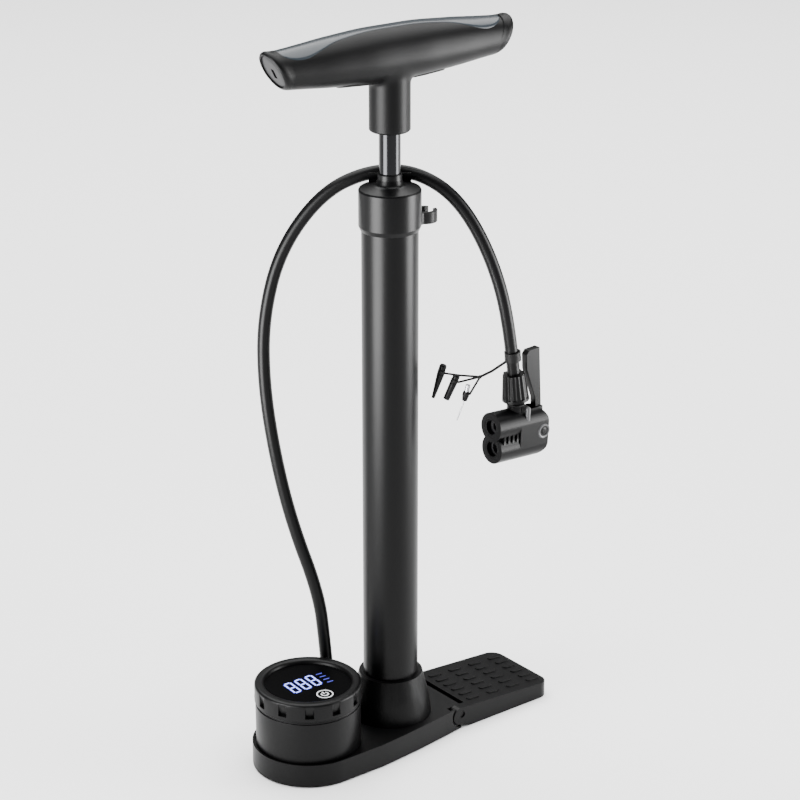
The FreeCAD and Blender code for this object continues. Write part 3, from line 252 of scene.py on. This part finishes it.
def smooth_table(table, s):
    """Value at s of a smooth curve through the (s, value) table, which starts at zero and is level there."""
    if s <= table[0][0]:
        return table[0][1]
    for i in range(len(table) - 1):
        (s0, v0), (s1, v1) = table[i], table[i + 1]
        if s <= s1:
            before = table[i - 1] if i else (2 * s0 - s1, v1)
            after = table[i + 2] if i + 2 < len(table) else (2 * s1 - s0, 2 * v1 - v0)
            m0 = (v1 - before[1]) / (s1 - before[0]) * (s1 - s0)
            m1 = (after[1] - v0) / (after[0] - s0) * (s1 - s0)
            t = (s - s0) / (s1 - s0)
            return ((2 * t ** 3 - 3 * t ** 2 + 1) * v0 + (t ** 3 - 2 * t ** 2 + t) * m0
                    + (3 * t ** 2 - 2 * t ** 3) * v1 + (t ** 3 - t ** 2) * m1)
    return table[-1][1]


def smooth_step(low, high, value):
    """0 below low, 1 above high, smooth between them."""
    t = min(1.0, max(0.0, (value - low) / (high - low)))
    return t * t * (3 - 2 * t)


EDGE_ANGLE = 32.0


def softened(node, material, slot, body, width):
    """The CAD piece with its edges rounded."""
    mesh = frame["nodes"][node].data.copy()
    mesh.name = node + "_detail"
    work = bmesh.new()
    work.from_mesh(mesh)
    bmesh.ops.remove_doubles(work, verts=work.verts, dist=2e-6)
    bmesh.ops.dissolve_limit(work, angle_limit=math.radians(1.0), verts=work.verts, edges=work.edges)
    work.to_mesh(mesh)
    work.free()
    if mesh.attributes.get("custom_normal"):
        mesh.attributes.remove(mesh.attributes["custom_normal"])
    piece = add_piece(node + "_detail", mesh, material, body, [node], sharp=180.0)
    bevel = piece.modifiers.new("edges", "BEVEL")
    bevel.width = width * MM
    bevel.segments = 2
    bevel.limit_method = "ANGLE"
    bevel.angle_limit = math.radians(EDGE_ANGLE)
    bevel.use_clamp_overlap = True
    smooth = piece.modifiers.new("faces_keep_flat", "WEIGHTED_NORMAL")
    smooth.mode = "FACE_AREA_WITH_ANGLE"
    return piece


# ---------------------------------------------------------------- handle
HANDLE_Z = 488.7
HANDLE_TURN = -2.7
HANDLE_PLACE = at(0, 0, HANDLE_Z) @ Matrix.Rotation(math.radians(HANDLE_TURN), 4, "Z")
# (distance from the bar's middle, radius)
HANDLE_SECTIONS = [(0.0, 17.9), (20.0, 17.8), (36.0, 16.8), (52.0, 15.6), (68.0, 14.0), (84.0, 12.6),
                   (101.0, 11.4)]
PAD_REACH = 88.5
PAD_SHIFT = -1.5
# (distance from the pad's middle, half width)
PAD_OUTLINE = [(0.0, 5.0), (24.0, 5.6), (43.0, 7.2), (57.0, 10.2), (68.0, 11.7), (78.0, 10.4), (85.0, 6.5),
               (PAD_REACH, 0.6)]
PAD_LIFT = 0.35
UNDERSIDE_MIDDLE = 28.0
UNDERSIDE_REACH = 14.0
UNDERSIDE_HALF_WIDTH = 8.0
UNDERSIDE_LIFT = 0.7
UNDERSIDE_EDGE = 0.6
STEM_RADIUS = 13.6
STEM_DROP = 51.5
END_SLANT = math.tan(math.radians(27.0))
END_MIDDLE = 88.8
END_INSET = 1.5
LIP_STAND = 0.6
SKIN_VOXEL = 1.1


def bar_radius(x):
    return smooth_table(HANDLE_SECTIONS, abs(x))


def blended(x, y, z):
    """Distance-like value that is zero on the skin of bar and stem, with a fillet between them."""
    fillet = 4.0
    bar = math.hypot(y, z) - bar_radius(x)
    stem = math.hypot(x, y) - STEM_RADIUS if z < 0 else math.hypot(x, y, z) - STEM_RADIUS
    overlap = max(fillet - abs(bar - stem), 0.0) / fillet
    return min(bar, stem) - overlap * overlap * fillet / 4


def rough_handle(length):
    """Coarse closed bar with slanted ends, and the stem that runs up into it."""
    columns, rows = 48, 49
    points = []
    for i in range(rows):
        s = -length + 2 * length * i / (rows - 1)
        for y, z in circle(bar_radius(s), columns):
            points.append((s + END_SLANT * z * (s / length) ** 3, y, z))
    first = len(points)
    for height in (-STEM_DROP + END_INSET, 0.0):
        points += [(x, y, height) for x, y in circle(STEM_RADIUS, columns)]
    faces = grid_faces(rows, columns)
    faces += [row_face(0, columns), row_face(rows - 1, columns)]
    faces += [tuple(first + i for i in face) for face in grid_faces(2, columns)]
    faces += [row_face(rows, columns), row_face(rows + 1, columns)]
    return mesh_from("handle_rough", points, faces)


def even_skin(mesh, voxel):
    """The outside of a rough mesh as one even skin."""
    rough = bpy.data.objects.new("handle_rough", mesh)
    bpy.context.scene.collection.objects.link(rough)
    remesh = rough.modifiers.new("skin", "REMESH")
    remesh.mode = "VOXEL"
    remesh.voxel_size = voxel * MM
    bpy.context.view_layer.update()
    skin = bpy.data.meshes.new_from_object(rough.evaluated_get(bpy.context.evaluated_depsgraph_get()))
    bpy.data.objects.remove(rough)
    return skin


def handle_body():
    """Bar and stem in one skin: a coarse closed form, each point then moved onto the blended skin."""
    length = END_MIDDLE - END_INSET
    skin = even_skin(rough_handle(length), SKIN_VOXEL)
    # points this near the bar's ends and the stem's foot stay, and the others move in a few small steps
    end_band, foot_band, moves, least_slope = 1.2, 3.0, 4, 0.25
    step = 0.01
    for vertex in skin.vertices:
        x, y, z = (c / MM for c in vertex.co)
        end_gap = length + END_SLANT * z - abs(x)
        if end_gap < end_band or z < -STEM_DROP + foot_band:
            continue
        for _ in range(moves):
            value = blended(x, y, z)
            slope = Vector((blended(x + step, y, z) - value, blended(x, y + step, z) - value,
                            blended(x, y, z + step) - value)) / step
            move = -value / max(slope.length_squared, least_slope)
            x, y, z = x + slope.x * move, y + slope.y * move, z + slope.z * move
        vertex.co = Vector((x, y, z)) * MM
    skin.name = "handle_body_detail"
    skin.transform(Matrix.Translation(HANDLE_PLACE.translation * MM) @ HANDLE_PLACE.to_3x3().to_4x4())
    add_piece("handle_body_detail", skin, HANDLE, "plunger", ["handle_body"], sharp=60.0)


def stem_foot():
    """Rounded lower end of the stem, round the rod."""
    rod_bore, outer = 7.3, STEM_RADIUS + 0.02
    foot = [(rod_bore, -STEM_DROP + 3, 0), (rod_bore, -STEM_DROP, 0.3), (STEM_RADIUS - 0.9, -STEM_DROP, 0.8),
            (outer, -STEM_DROP + 1.0, 0.8), (outer, -STEM_DROP + 5.0, 0), (12.0, -STEM_DROP + 5.0, 0),
            (rod_bore, -STEM_DROP + 3, 0)]
    mesh = lathe("handle_stem_foot", foot, HANDLE_PLACE)
    add_piece("handle_stem_foot", mesh, HANDLE, "plunger")


def end_lip(sign, side):
    """Rounded black rim on the slanted end of the bar, a little fuller at the top."""
    columns = SMALL_ROUND
    # (distance in from the end, radius change)
    profile = [(9.0, 0.02), (7.0, 0.10), (5.0, 0.45), (3.4, 0.75), (2.0, 0.6), (0.9, 0.1), (0.25, -0.5),
               (0.0, -1.0), (0.1, -1.4), (0.5, -1.7), (1.6, -1.8)]
    points = []
    for inset, grow in profile:
        for j in range(columns):
            angle = 2 * math.pi * j / columns
            lift = 0.5 + 0.5 * math.sin(angle)
            radius = bar_radius(END_MIDDLE - inset) + grow * (0.55 + 0.45 * lift if grow > 0 else 1.0)
            y, z = radius * math.cos(angle), radius * math.sin(angle)
            points.append((sign * (END_MIDDLE + LIP_STAND - inset + END_SLANT * z), y, z))
    name = "handle_lip_" + side
    mesh = mesh_from(name, points, grid_faces(len(profile), columns), HANDLE_PLACE)
    add_piece(name, mesh, HANDLE, "plunger")


def end_plate(sign, side):
    """Grey plate set into the rim, with an upright slot."""
    columns = SMALL_ROUND
    # (radius, depth behind the rim) from the outside in; the last ring is squared into the slot's edge
    rings = ((10.7, 1.5), (9.8, 0.9), (6.0, 0.75), (3.4, 0.75))
    slot_half_width, slot_half_height, slot_drop, slot_depth = 1.5, 3.0, 1.5, 2.5
    points = []
    for k, (radius, depth) in enumerate(rings):
        for y, z in circle(radius, columns):
            if k == len(rings) - 1:
                scale = max(abs(y) / slot_half_width, abs(z) / slot_half_height)
                y, z = y / scale, z / scale - slot_drop
            points.append((sign * (END_MIDDLE + LIP_STAND - depth + END_SLANT * z), y, z))
    points += [(x - sign * slot_depth, y, z) for x, y, z in points[-columns:]]
    faces = grid_faces(len(rings) + 1, columns)
    faces.append(row_face(len(rings), columns))
    name = "handle_plate_" + side
    plate = mesh_from(name, points, faces, HANDLE_PLACE)
    add_piece(name, plate, END_PLATE, "plunger", ["handle_end_cap_" + side])


def skin_patch(name, half_width, reach, lift, top, centre=0.0, edge=1.1):
    """Patch lying on the bar: raised by lift, its rim rolling down into the bar's skin."""
    rows, columns = 121, 33
    rim_drop, rim_width = 0.35, 0.5
    points = []
    for i in range(rows):
        s = -math.cos(math.pi * i / (rows - 1)) * reach
        half = max(half_width(s), 0.05)
        for j in range(columns):
            v = math.sin((j / (columns - 1) - 0.5) * math.pi)
            y = v * half
            gap = min(half * (1 - abs(v)), reach - abs(s))
            raised = bar_radius(centre + s) + lift * smooth_step(0.0, edge, gap)
            radius = raised - rim_drop * (1 - smooth_step(0, rim_width, gap))
            z = math.sqrt(max(radius * radius - y * y, 0.0))
            points.append((centre + s, y, z if top else -z))
    return mesh_from(name, points, grid_faces(rows, columns, closed=False), HANDLE_PLACE)


def pad_half_width(s):
    return smooth_table(PAD_OUTLINE, abs(s))


def underside_half_width(s):
    return UNDERSIDE_HALF_WIDTH * math.sqrt(max(1 - (s / UNDERSIDE_REACH) ** 4, 0.0))


def handle():
    handle_body()
    stem_foot()
    for sign, side in ((-1, "left"), (1, "right")):
        end_lip(sign, side)
        end_plate(sign, side)
    pad = skin_patch("grip_pad_detail", pad_half_width, PAD_REACH, PAD_LIFT, True, PAD_SHIFT)
    add_piece("grip_pad_detail", pad, GRIP, "plunger", ["grip_pad"])
    for sign, side in ((-1, "left"), (1, "right")):
        name = "handle_underside_" + side
        patch = skin_patch(name, underside_half_width, UNDERSIDE_REACH, UNDERSIDE_LIFT, False,
                           sign * UNDERSIDE_MIDDLE, UNDERSIDE_EDGE)
        add_piece(name, patch, HANDLE, "plunger")


# ---------------------------------------------------------------- barrel top
def top_cap():
    """Cap with the room for the rod's bush and wiper inside it."""
    rod, wiper, bush, barrel = 7.5, 9.9, 12.05, 19.05
    inside = [(rod, 404.0, 0), (rod, 397.5, 0), (wiper, 397.5, 0), (wiper, 394.9, 0), (rod, 394.9, 0),
              (rod, 392.5, 0), (bush, 392.5, 0), (bush, 380.1, 0), (barrel, 380.1, 0), (barrel, 370.4, 0)]
    outside = [(19.5, 370.4, 0.2), (20.8, 373.4, 1.2), (20.8, 397.4, 0.7), (20.2, 398.5, 0.5),
               (9.3, 400.7, 3.6), (8.1, 405.0, 3.0), (8.05, 408.2, 0.8), (rod, 409.4, 0.4), (rod, 404.0, 0)]
    mesh = lathe("top_cap_detail", inside + outside, segments=LARGE_ROUND)
    add_piece("top_cap_detail", mesh, CAP, replaced=["top_cap"])


# ---------------------------------------------------------------- gauge
GAUGE_X = -71.9
BUTTON_Y = -19.5
BEZEL_TURN = -4.6


def gauge_bezel():
    """Ring with a thumb notch every 30 degrees, deepest at the notch's foot."""
    outer, notch_half_width, notch_depth = 36.8, 2.8, 2.4
    notch_top, notch_slope = 60.6, 9.0
    notches, notch_pitch = 12, 30.0
    half_notch = math.degrees(math.asin(notch_half_width / outer))
    half_sector = [0.8, 2.2, 3.4, 3.9, 4.15, 4.36, 4.55, 4.8, 5.4, 7.0, 9.0, 12.0]
    sector = [-a for a in reversed(half_sector)] + half_sector
    angles = [notch_pitch * k + a for k in range(notches) for a in sector]
    # (radius, height, whether the notch cuts into it)
    side = [(34.2, 48.6, 0), (36.3, 48.55, 0), (36.75, 49.0, 0), (outer, 51.2, 0), (outer, 51.55, 0),
            (outer, 51.75, 1), (outer, 52.4, 1), (outer, 54.5, 1), (outer, 57.5, 1), (36.78, 59.8, 1),
            (36.7, 60.4, 1), (36.45, 61.1, 0), (35.9, 61.7, 0), (35.2, 61.95, 0), (34.5, 62.0, 0),
            (31.9, 62.0, 0), (31.1, 61.9, 0), (30.5, 61.5, 0), (30.0, 60.8, 0), (29.6, 60.0, 0),
            (29.4, 59.2, 0), (29.4, 58.4, 0), (30.9, 58.3, 0), (34.2, 48.6, 0)]
    points = []
    for radius, height, notched in side:
        deep = notch_depth * max(0.0, (notch_top - height) / notch_slope) if notched else 0.0
        for angle in angles:
            offset = abs((angle + notch_pitch / 2) % notch_pitch - notch_pitch / 2)
            r = radius - deep * (1 - smooth_step(half_notch - 0.4, half_notch + 0.4, offset))
            points.append((r * math.cos(math.radians(angle)), r * math.sin(math.radians(angle)), height))
    place = at(GAUGE_X, 0, 0) @ Matrix.Rotation(math.radians(BEZEL_TURN), 4, "Z")
    mesh = mesh_from("gauge_bezel_detail", points, grid_faces(len(side), len(angles)), place)
    add_piece("gauge_bezel_detail", mesh, SATIN, replaced=["gauge_bezel"], sharp=28.0)


def gauge_drum():
    profile = [(33.7, 17.8, 0), (33.7, 16.2, 0), (35.6, 15.7, 0.3), (36.1, 16.3, 0.4), (36.2, 46.6, 0.3),
               (35.5, 46.9, 0.2), (35.5, 47.9, 0.2), (36.1, 48.2, 0.2), (35.9, 48.5, 0.1), (33.7, 48.5, 0),
               (33.7, 17.8, 0)]
    mesh = lathe("gauge_housing_detail", profile, at(GAUGE_X, 0, 0), LARGE_ROUND)
    add_piece("gauge_housing_detail", mesh, SATIN, replaced=["gauge_housing"])


def gauge_window():
    """Plain dark disc over the display; it has no hole for the button."""
    glass = [(0.01, 59.45, 0), (27.4, 59.3, 0.5), (30.8, 59.2, 0), (30.8, 57.6, 0), (0.01, 57.6, 0),
             (0.01, 59.45, 0)]
    mesh = lathe("gauge_lens_detail", glass, at(GAUGE_X, 0, 0), LARGE_ROUND)
    add_piece("gauge_lens_detail", mesh, WINDOW, replaced=["gauge_lens", "display_panel"])


# a digit's segments as (centre x, centre y, upright), in units of half its width and a quarter of its height
SEGMENTS = [(0, 2, False), (0, 0, False), (0, -2, False),
            (-1, 1, True), (1, 1, True), (-1, -1, True), (1, -1, True)]


def flat_shapes(name, outlines, low, high):
    """Thin plates over closed outlines of (x, y) points."""
    points, faces = [], []
    for outline in outlines:
        first, count = len(points), len(outline)
        points += [(x, y, low) for x, y in outline] + [(x, y, high) for x, y in outline]
        faces.append(tuple(first + i for i in range(count)))
        faces.append(tuple(first + count + i for i in range(count)))
        for i in range(count):
            k = (i + 1) % count
            faces.append((first + i, first + k, first + count + k, first + count + i))
    return mesh_from(name, points, faces)


def digit_bar(half_long, half_wide, upright):
    """Outline of one segment about its own middle, pointed at both ends."""
    bar = [(-half_long, 0), (-half_long + half_wide, half_wide), (half_long - half_wide, half_wide),
           (half_long, 0), (half_long - half_wide, -half_wide), (-half_long + half_wide, -half_wide)]
    return [(-b, a) for a, b in bar] if upright else bar


def display():
    """Three digits with every segment lit, a glow round them, and a column of plain unit dashes."""
    width, height, stroke, pitch, lean = 4.9, 14.4, 0.95, 8.8, 0.06
    first_digit, middle_y = -83.8, 1.4
    segment_gap, glow = 0.3, 0.45
    lit, units, halo = [], [], []
    for k in range(3):
        centre_x = first_digit + k * pitch
        for side, level, upright in SEGMENTS:
            x, y = centre_x + side * width / 2, middle_y + level * height / 4
            half_long = (height / 4 if upright else width / 2) - segment_gap
            bar = digit_bar(half_long, stroke / 2, upright)
            for group, grow in ((lit, 0.0), (halo, glow)):
                outline = [(x + a + math.copysign(grow, a), y + b + math.copysign(grow, b)) for a, b in bar]
                group.append([(a + lean * (b - middle_y), b) for a, b in outline])
    dash_x, dash_y, dash_shift, dash_pitch = -57.4, 7.0, 0.2, 4.55
    for row in range(4):
        x, y = dash_x - dash_shift * row, dash_y - dash_pitch * row
        units.append([(x - 2.4, y - 0.3), (x + 2.2, y - 0.9), (x + 2.4, y - 0.1), (x - 2.2, y + 0.5)])
    layers = (("display_halo", halo, 59.40, 59.47, HALO), ("display_units", units, 59.42, 59.50, UNIT),
              ("display_lit", lit, 59.43, 59.53, DIGIT))
    for name, outlines, low, high, material in layers:
        add_piece(name, flat_shapes(name, outlines, low, high), material)


def power_button():
    """Button just above the window, with a printed ring and a power mark: an open circle with a bar."""
    place = at(GAUGE_X, BUTTON_Y, 0)
    cap = [(0.01, 53.0, 0), (1.5, 53.0, 0), (1.5, 56.1, 0), (7.4, 56.1, 0), (7.4, 57.1, 0), (6.0, 57.1, 0),
           (6.0, 59.35, 0.3), (5.6, 59.6, 0.3), (0.01, 59.5, 0)]
    mesh = lathe("power_button_detail", cap, place, SMALL_ROUND)
    add_piece("power_button_detail", mesh, WINDOW, "button", ["power_button"])
    top = 59.66
    inner, outer, print_thickness = 5.0, 5.8, 0.12
    ring = [(inner, 0.0, 0), (outer, 0.0, 0), (outer, print_thickness, 0), (inner, print_thickness, 0),
            (inner, 0.0, 0)]
    ring_place = at(GAUGE_X, BUTTON_Y, top - 0.1)
    mesh = lathe("power_ring", ring, ring_place, SMALL_ROUND)
    add_piece("power_ring", mesh, PRINT, "button")
    columns, opening = 30, math.radians(42)
    sweep = [math.pi / 2 + opening + (2 * math.pi - 2 * opening) * i / (columns - 1) for i in range(columns)]
    points = [(GAUGE_X + radius * math.cos(a), BUTTON_Y + radius * math.sin(a), top)
              for radius in (1.9, 2.8) for a in sweep]
    faces = grid_faces(2, columns, closed=False)
    first = len(points)
    bar = ((-0.45, 0.4), (0.45, 0.4), (0.45, 3.4), (-0.45, 3.4))
    points += [(GAUGE_X + x, BUTTON_Y + y, top) for x, y in bar]
    faces.append(tuple(range(first, first + len(bar))))
    add_piece("power_symbol", mesh_from("power_symbol", points, faces), PRINT, "button")


# ---------------------------------------------------------------- hose
LOOP_TURN = math.radians(-38.3)
HOSE_ROUTE = [(-43, 0, 28), (-46, 1, 70), (-50, 3, 105), (-68, 6, 158), (-79, 9, 208), (-85.5, 12, 258),
              (-85, 15, 304), (-73, 17, 351), (-45, 18, 390), (-13, 18, 405.5), (18, 18, 404.5),
              (46, 18, 385.5), (68.5, 17, 344)]
HOSE_DROP = (53, 3)
HOSE_DIAMETER = 8.8
HOSE_END = at(78.0, -39.0, 243.0)
NUT_TILT = -6.0
CHUCK_TILT = 3.0
NUT_PLACE = HOSE_END @ Matrix.Rotation(math.radians(NUT_TILT), 4, "Y")
CHUCK_PLACE = HOSE_END @ Matrix.Rotation(math.radians(CHUCK_TILT), 4, "Y")


def loop_point(along_loop, behind, height):
    """A point of the hose's upright plane, turned into the pump's frame."""
    return Vector((along_loop * math.cos(LOOP_TURN) - behind * math.sin(LOOP_TURN),
                   along_loop * math.sin(LOOP_TURN) + behind * math.cos(LOOP_TURN), height))


def hose():
    points = [loop_point(*corner) for corner in HOSE_ROUTE]
    points += [NUT_PLACE @ Vector((0, 0, above)) for above in HOSE_DROP]
    curve = bpy.data.curves.new("hose_line", "CURVE")
    curve.dimensions = "3D"
    curve.bevel_depth = HOSE_DIAMETER / 2 * MM
    curve.bevel_resolution = 12
    curve.use_fill_caps = True
    curve.resolution_u = 16
    spline = curve.splines.new("NURBS")
    spline.points.add(len(points) - 1)
    for target, point in zip(spline.points, points):
        target.co = (*(point * MM), 1.0)
    spline.order_u = 3
    spline.use_endpoint_u = True
    curve.materials.append(RUBBER)
    piece = bpy.data.objects.new("hose_line", curve)
    bpy.context.scene.collection.objects.link(piece)
    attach(piece, "frame")
    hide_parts("hose")
    return piece, points


# ---------------------------------------------------------------- pieces of the frame with softer edges
# (node, material, slot, body, width of the rounded edge)
SOFTENED = [
    ("base_shell", FOOT, "satin_black", "frame", 0.5), ("foot_tread", FOOT, "satin_black", "tread", 0.4),
    ("hose_saddle", CAP, "gloss_black", "frame", 0.4), ("chuck_hook", HOOK, "hook_grey", "frame", 0.4),
    ("hose_gland", SATIN, "satin_black", "frame", 0.4), ("hose_sleeve", RUBBER, "rubber_black", "frame", 0.3),
    ("collar_nut", GLOSS, "gloss_black", "frame", 0.3), ("chuck_body", GLOSS, "gloss_black", "frame", 0.45),
    ("chuck_lever", GLOSS, "gloss_black", "lever", 0.5),
    ("port_collar_upper", GLOSS, "gloss_black", "frame", 0.25),
    ("port_collar_lower", GLOSS, "gloss_black", "frame", 0.25),
    ("port_gasket_upper", GASKET, "rubber_black", "frame", 0.25),
    ("port_gasket_lower", GASKET, "rubber_black", "frame", 0.25),
    ("accessory_strap", SOFT_RUBBER, "rubber_black", "frame", 0.15),
    ("cone_nozzle", SATIN, "nozzle_black", "frame", 0.15),
    ("blunt_nozzle", SATIN, "nozzle_black", "frame", 0.15),
]


def chuck_details():
    """Upright pin beside the nut and the ringed ends of the lever's pin, their lighter grey partly a painted
    highlight.
    """
    pin = [(0.01, 0.0, 0), (1.7, 0.0, 0), (1.7, 9.4, 1.2), (0.01, 10.0, 0)]
    place = CHUCK_PLACE @ at(4.2, -8.6, -12.8)
    add_piece("chuck_pin", lathe("chuck_pin", pin, place, 32), PIN_GLINT_GREY)
    pivot_x, pivot_z = 18.2, -22.45
    pivot_side = 10.2
    eye = [(0.01, 0.35, 0), (1.4, 0.35, 0.2), (3.6, -0.2, 0.1), (3.6, -1.0, 0)]
    rim = [(3.6, -1.0, 0), (3.6, 0.5, 0.2), (4.5, 0.75, 0.3), (5.2, 0.2, 0.2), (5.2, -1.0, 0), (3.6, -1.0, 0)]
    bands = (("pin_eyes", GLOSS, "gloss_black", eye), ("pin_rims", PIN_GLINT_GREY, "cap_grey", rim))
    for name, material, slot, ring in bands:
        places = [CHUCK_PLACE @ along((pivot_x, side * pivot_side, pivot_z), (0, side, 0))
                  for side in (-1, 1)]
        closed = ring[0] == ring[-1]
        both = joined(name, [lathe(name, ring, place, 48, closed=closed) for place in places])
        add_piece(name, both, material)


# ---------------------------------------------------------------- floor, light and camera
CAMERA_AT = Vector((-0.9799, -1.2497, 0.8706))
CAMERA_AIM = Vector((0.5778, 0.7306, -0.3639))
CAMERA_LENS = 114.05
FLOOR_HALF = 12.0
WORLD_LIGHT = 0.32
# (name, turn from the camera's side, distance, height, height it faces, width, length, watts, spread)
LAMPS = [("left_box", -50, 0.75, 0.50, 0.72, 0.46, 1.0, 15, 90),
         ("right_box", 86, 0.95, 0.50, 0.72, 0.44, 1.0, 12, 90),
         ("top_box", 180, 0.6, 3.0, 0.0, 4.5, 4.5, 480, 180)]


def around_pump(turn, distance, height):
    """Place turned from the camera's side of the pump, positive to the camera's right."""
    towards = math.atan2(CAMERA_AT.y, CAMERA_AT.x)
    angle = towards + math.radians(turn)
    return Vector((distance * math.cos(angle), distance * math.sin(angle), height))


def add_light(name, place, target, width, height, power, spread):
    """Rectangular lamp facing the target; sizes and places are metres, power watts, spread degrees."""
    light = bpy.data.lights.new(name, "AREA")
    light.shape = "RECTANGLE"
    light.size, light.size_y = width, height
    light.energy = power
    light.spread = math.radians(spread)
    lamp = bpy.data.objects.new(name, light)
    lamp.location = place
    lamp.rotation_euler = (Vector(target) - Vector(place)).to_track_quat("-Z", "Y").to_euler()
    bpy.context.scene.collection.objects.link(lamp)


def studio():
    floor = bpy.data.meshes.new("floor")
    half = FLOOR_HALF
    corners = [(-half, -half, 0), (half, -half, 0), (half, half, 0), (-half, half, 0)]
    floor.from_pydata(corners, [], [(0, 1, 2, 3)])
    floor.materials.append(surface("pale_floor", (0.9, 0.9, 0.9), 0.8, specular=0.1))
    plane = bpy.data.objects.new("floor", floor)
    bpy.context.scene.collection.objects.link(plane)
    world = bpy.data.worlds.new("studio")
    world.use_nodes = True
    sky = world.node_tree.nodes["Background"]
    sky.inputs["Color"].default_value = (1.0, 1.0, 1.0, 1.0)
    sky.inputs["Strength"].default_value = WORLD_LIGHT
    bpy.context.scene.world = world
    for name, turn, distance, height, facing, width, length, power, spread in LAMPS:
        add_light(name, around_pump(turn, distance, height), (0, 0, facing), width, length, power, spread)


def camera():
    data = bpy.data.cameras.new("camera")
    data.sensor_width = 36.0
    data.lens = CAMERA_LENS
    data.clip_end = 50.0
    view = bpy.data.objects.new("camera", data)
    view.location = CAMERA_AT
    view.rotation_euler = CAMERA_AIM.to_track_quat("-Z", "Y").to_euler()
    bpy.context.scene.collection.objects.link(view)
    bpy.context.scene.camera = view


# ---------------------------------------------------------------- build
paint_frame()
studio()
camera()
hose_piece, hose_points = hose()
softened_pieces = {row[0]: softened(*row) for row in SOFTENED}
handle()
top_cap()
gauge_bezel()
gauge_drum()
gauge_window()
display()
power_button()
chuck_details()
on_hose = [softened_pieces[name] for name in (
    "hose_sleeve", "collar_nut", "chuck_body", "chuck_lever", "port_collar_upper", "port_collar_lower",
    "port_gasket_upper", "port_gasket_lower", "accessory_strap", "cone_nozzle", "blunt_nozzle")]
on_hose += [frame["nodes"][name] for name in (
    "chuck_barb", "barb_seal", "lever_pin", "cam_follower", "needle_thread", "needle_hub", "ball_needle",
    "port_washer_upper", "port_washer_lower")]
on_hose += [bpy.data.objects[name] for name in ("chuck_pin", "pin_eyes", "pin_rims")]
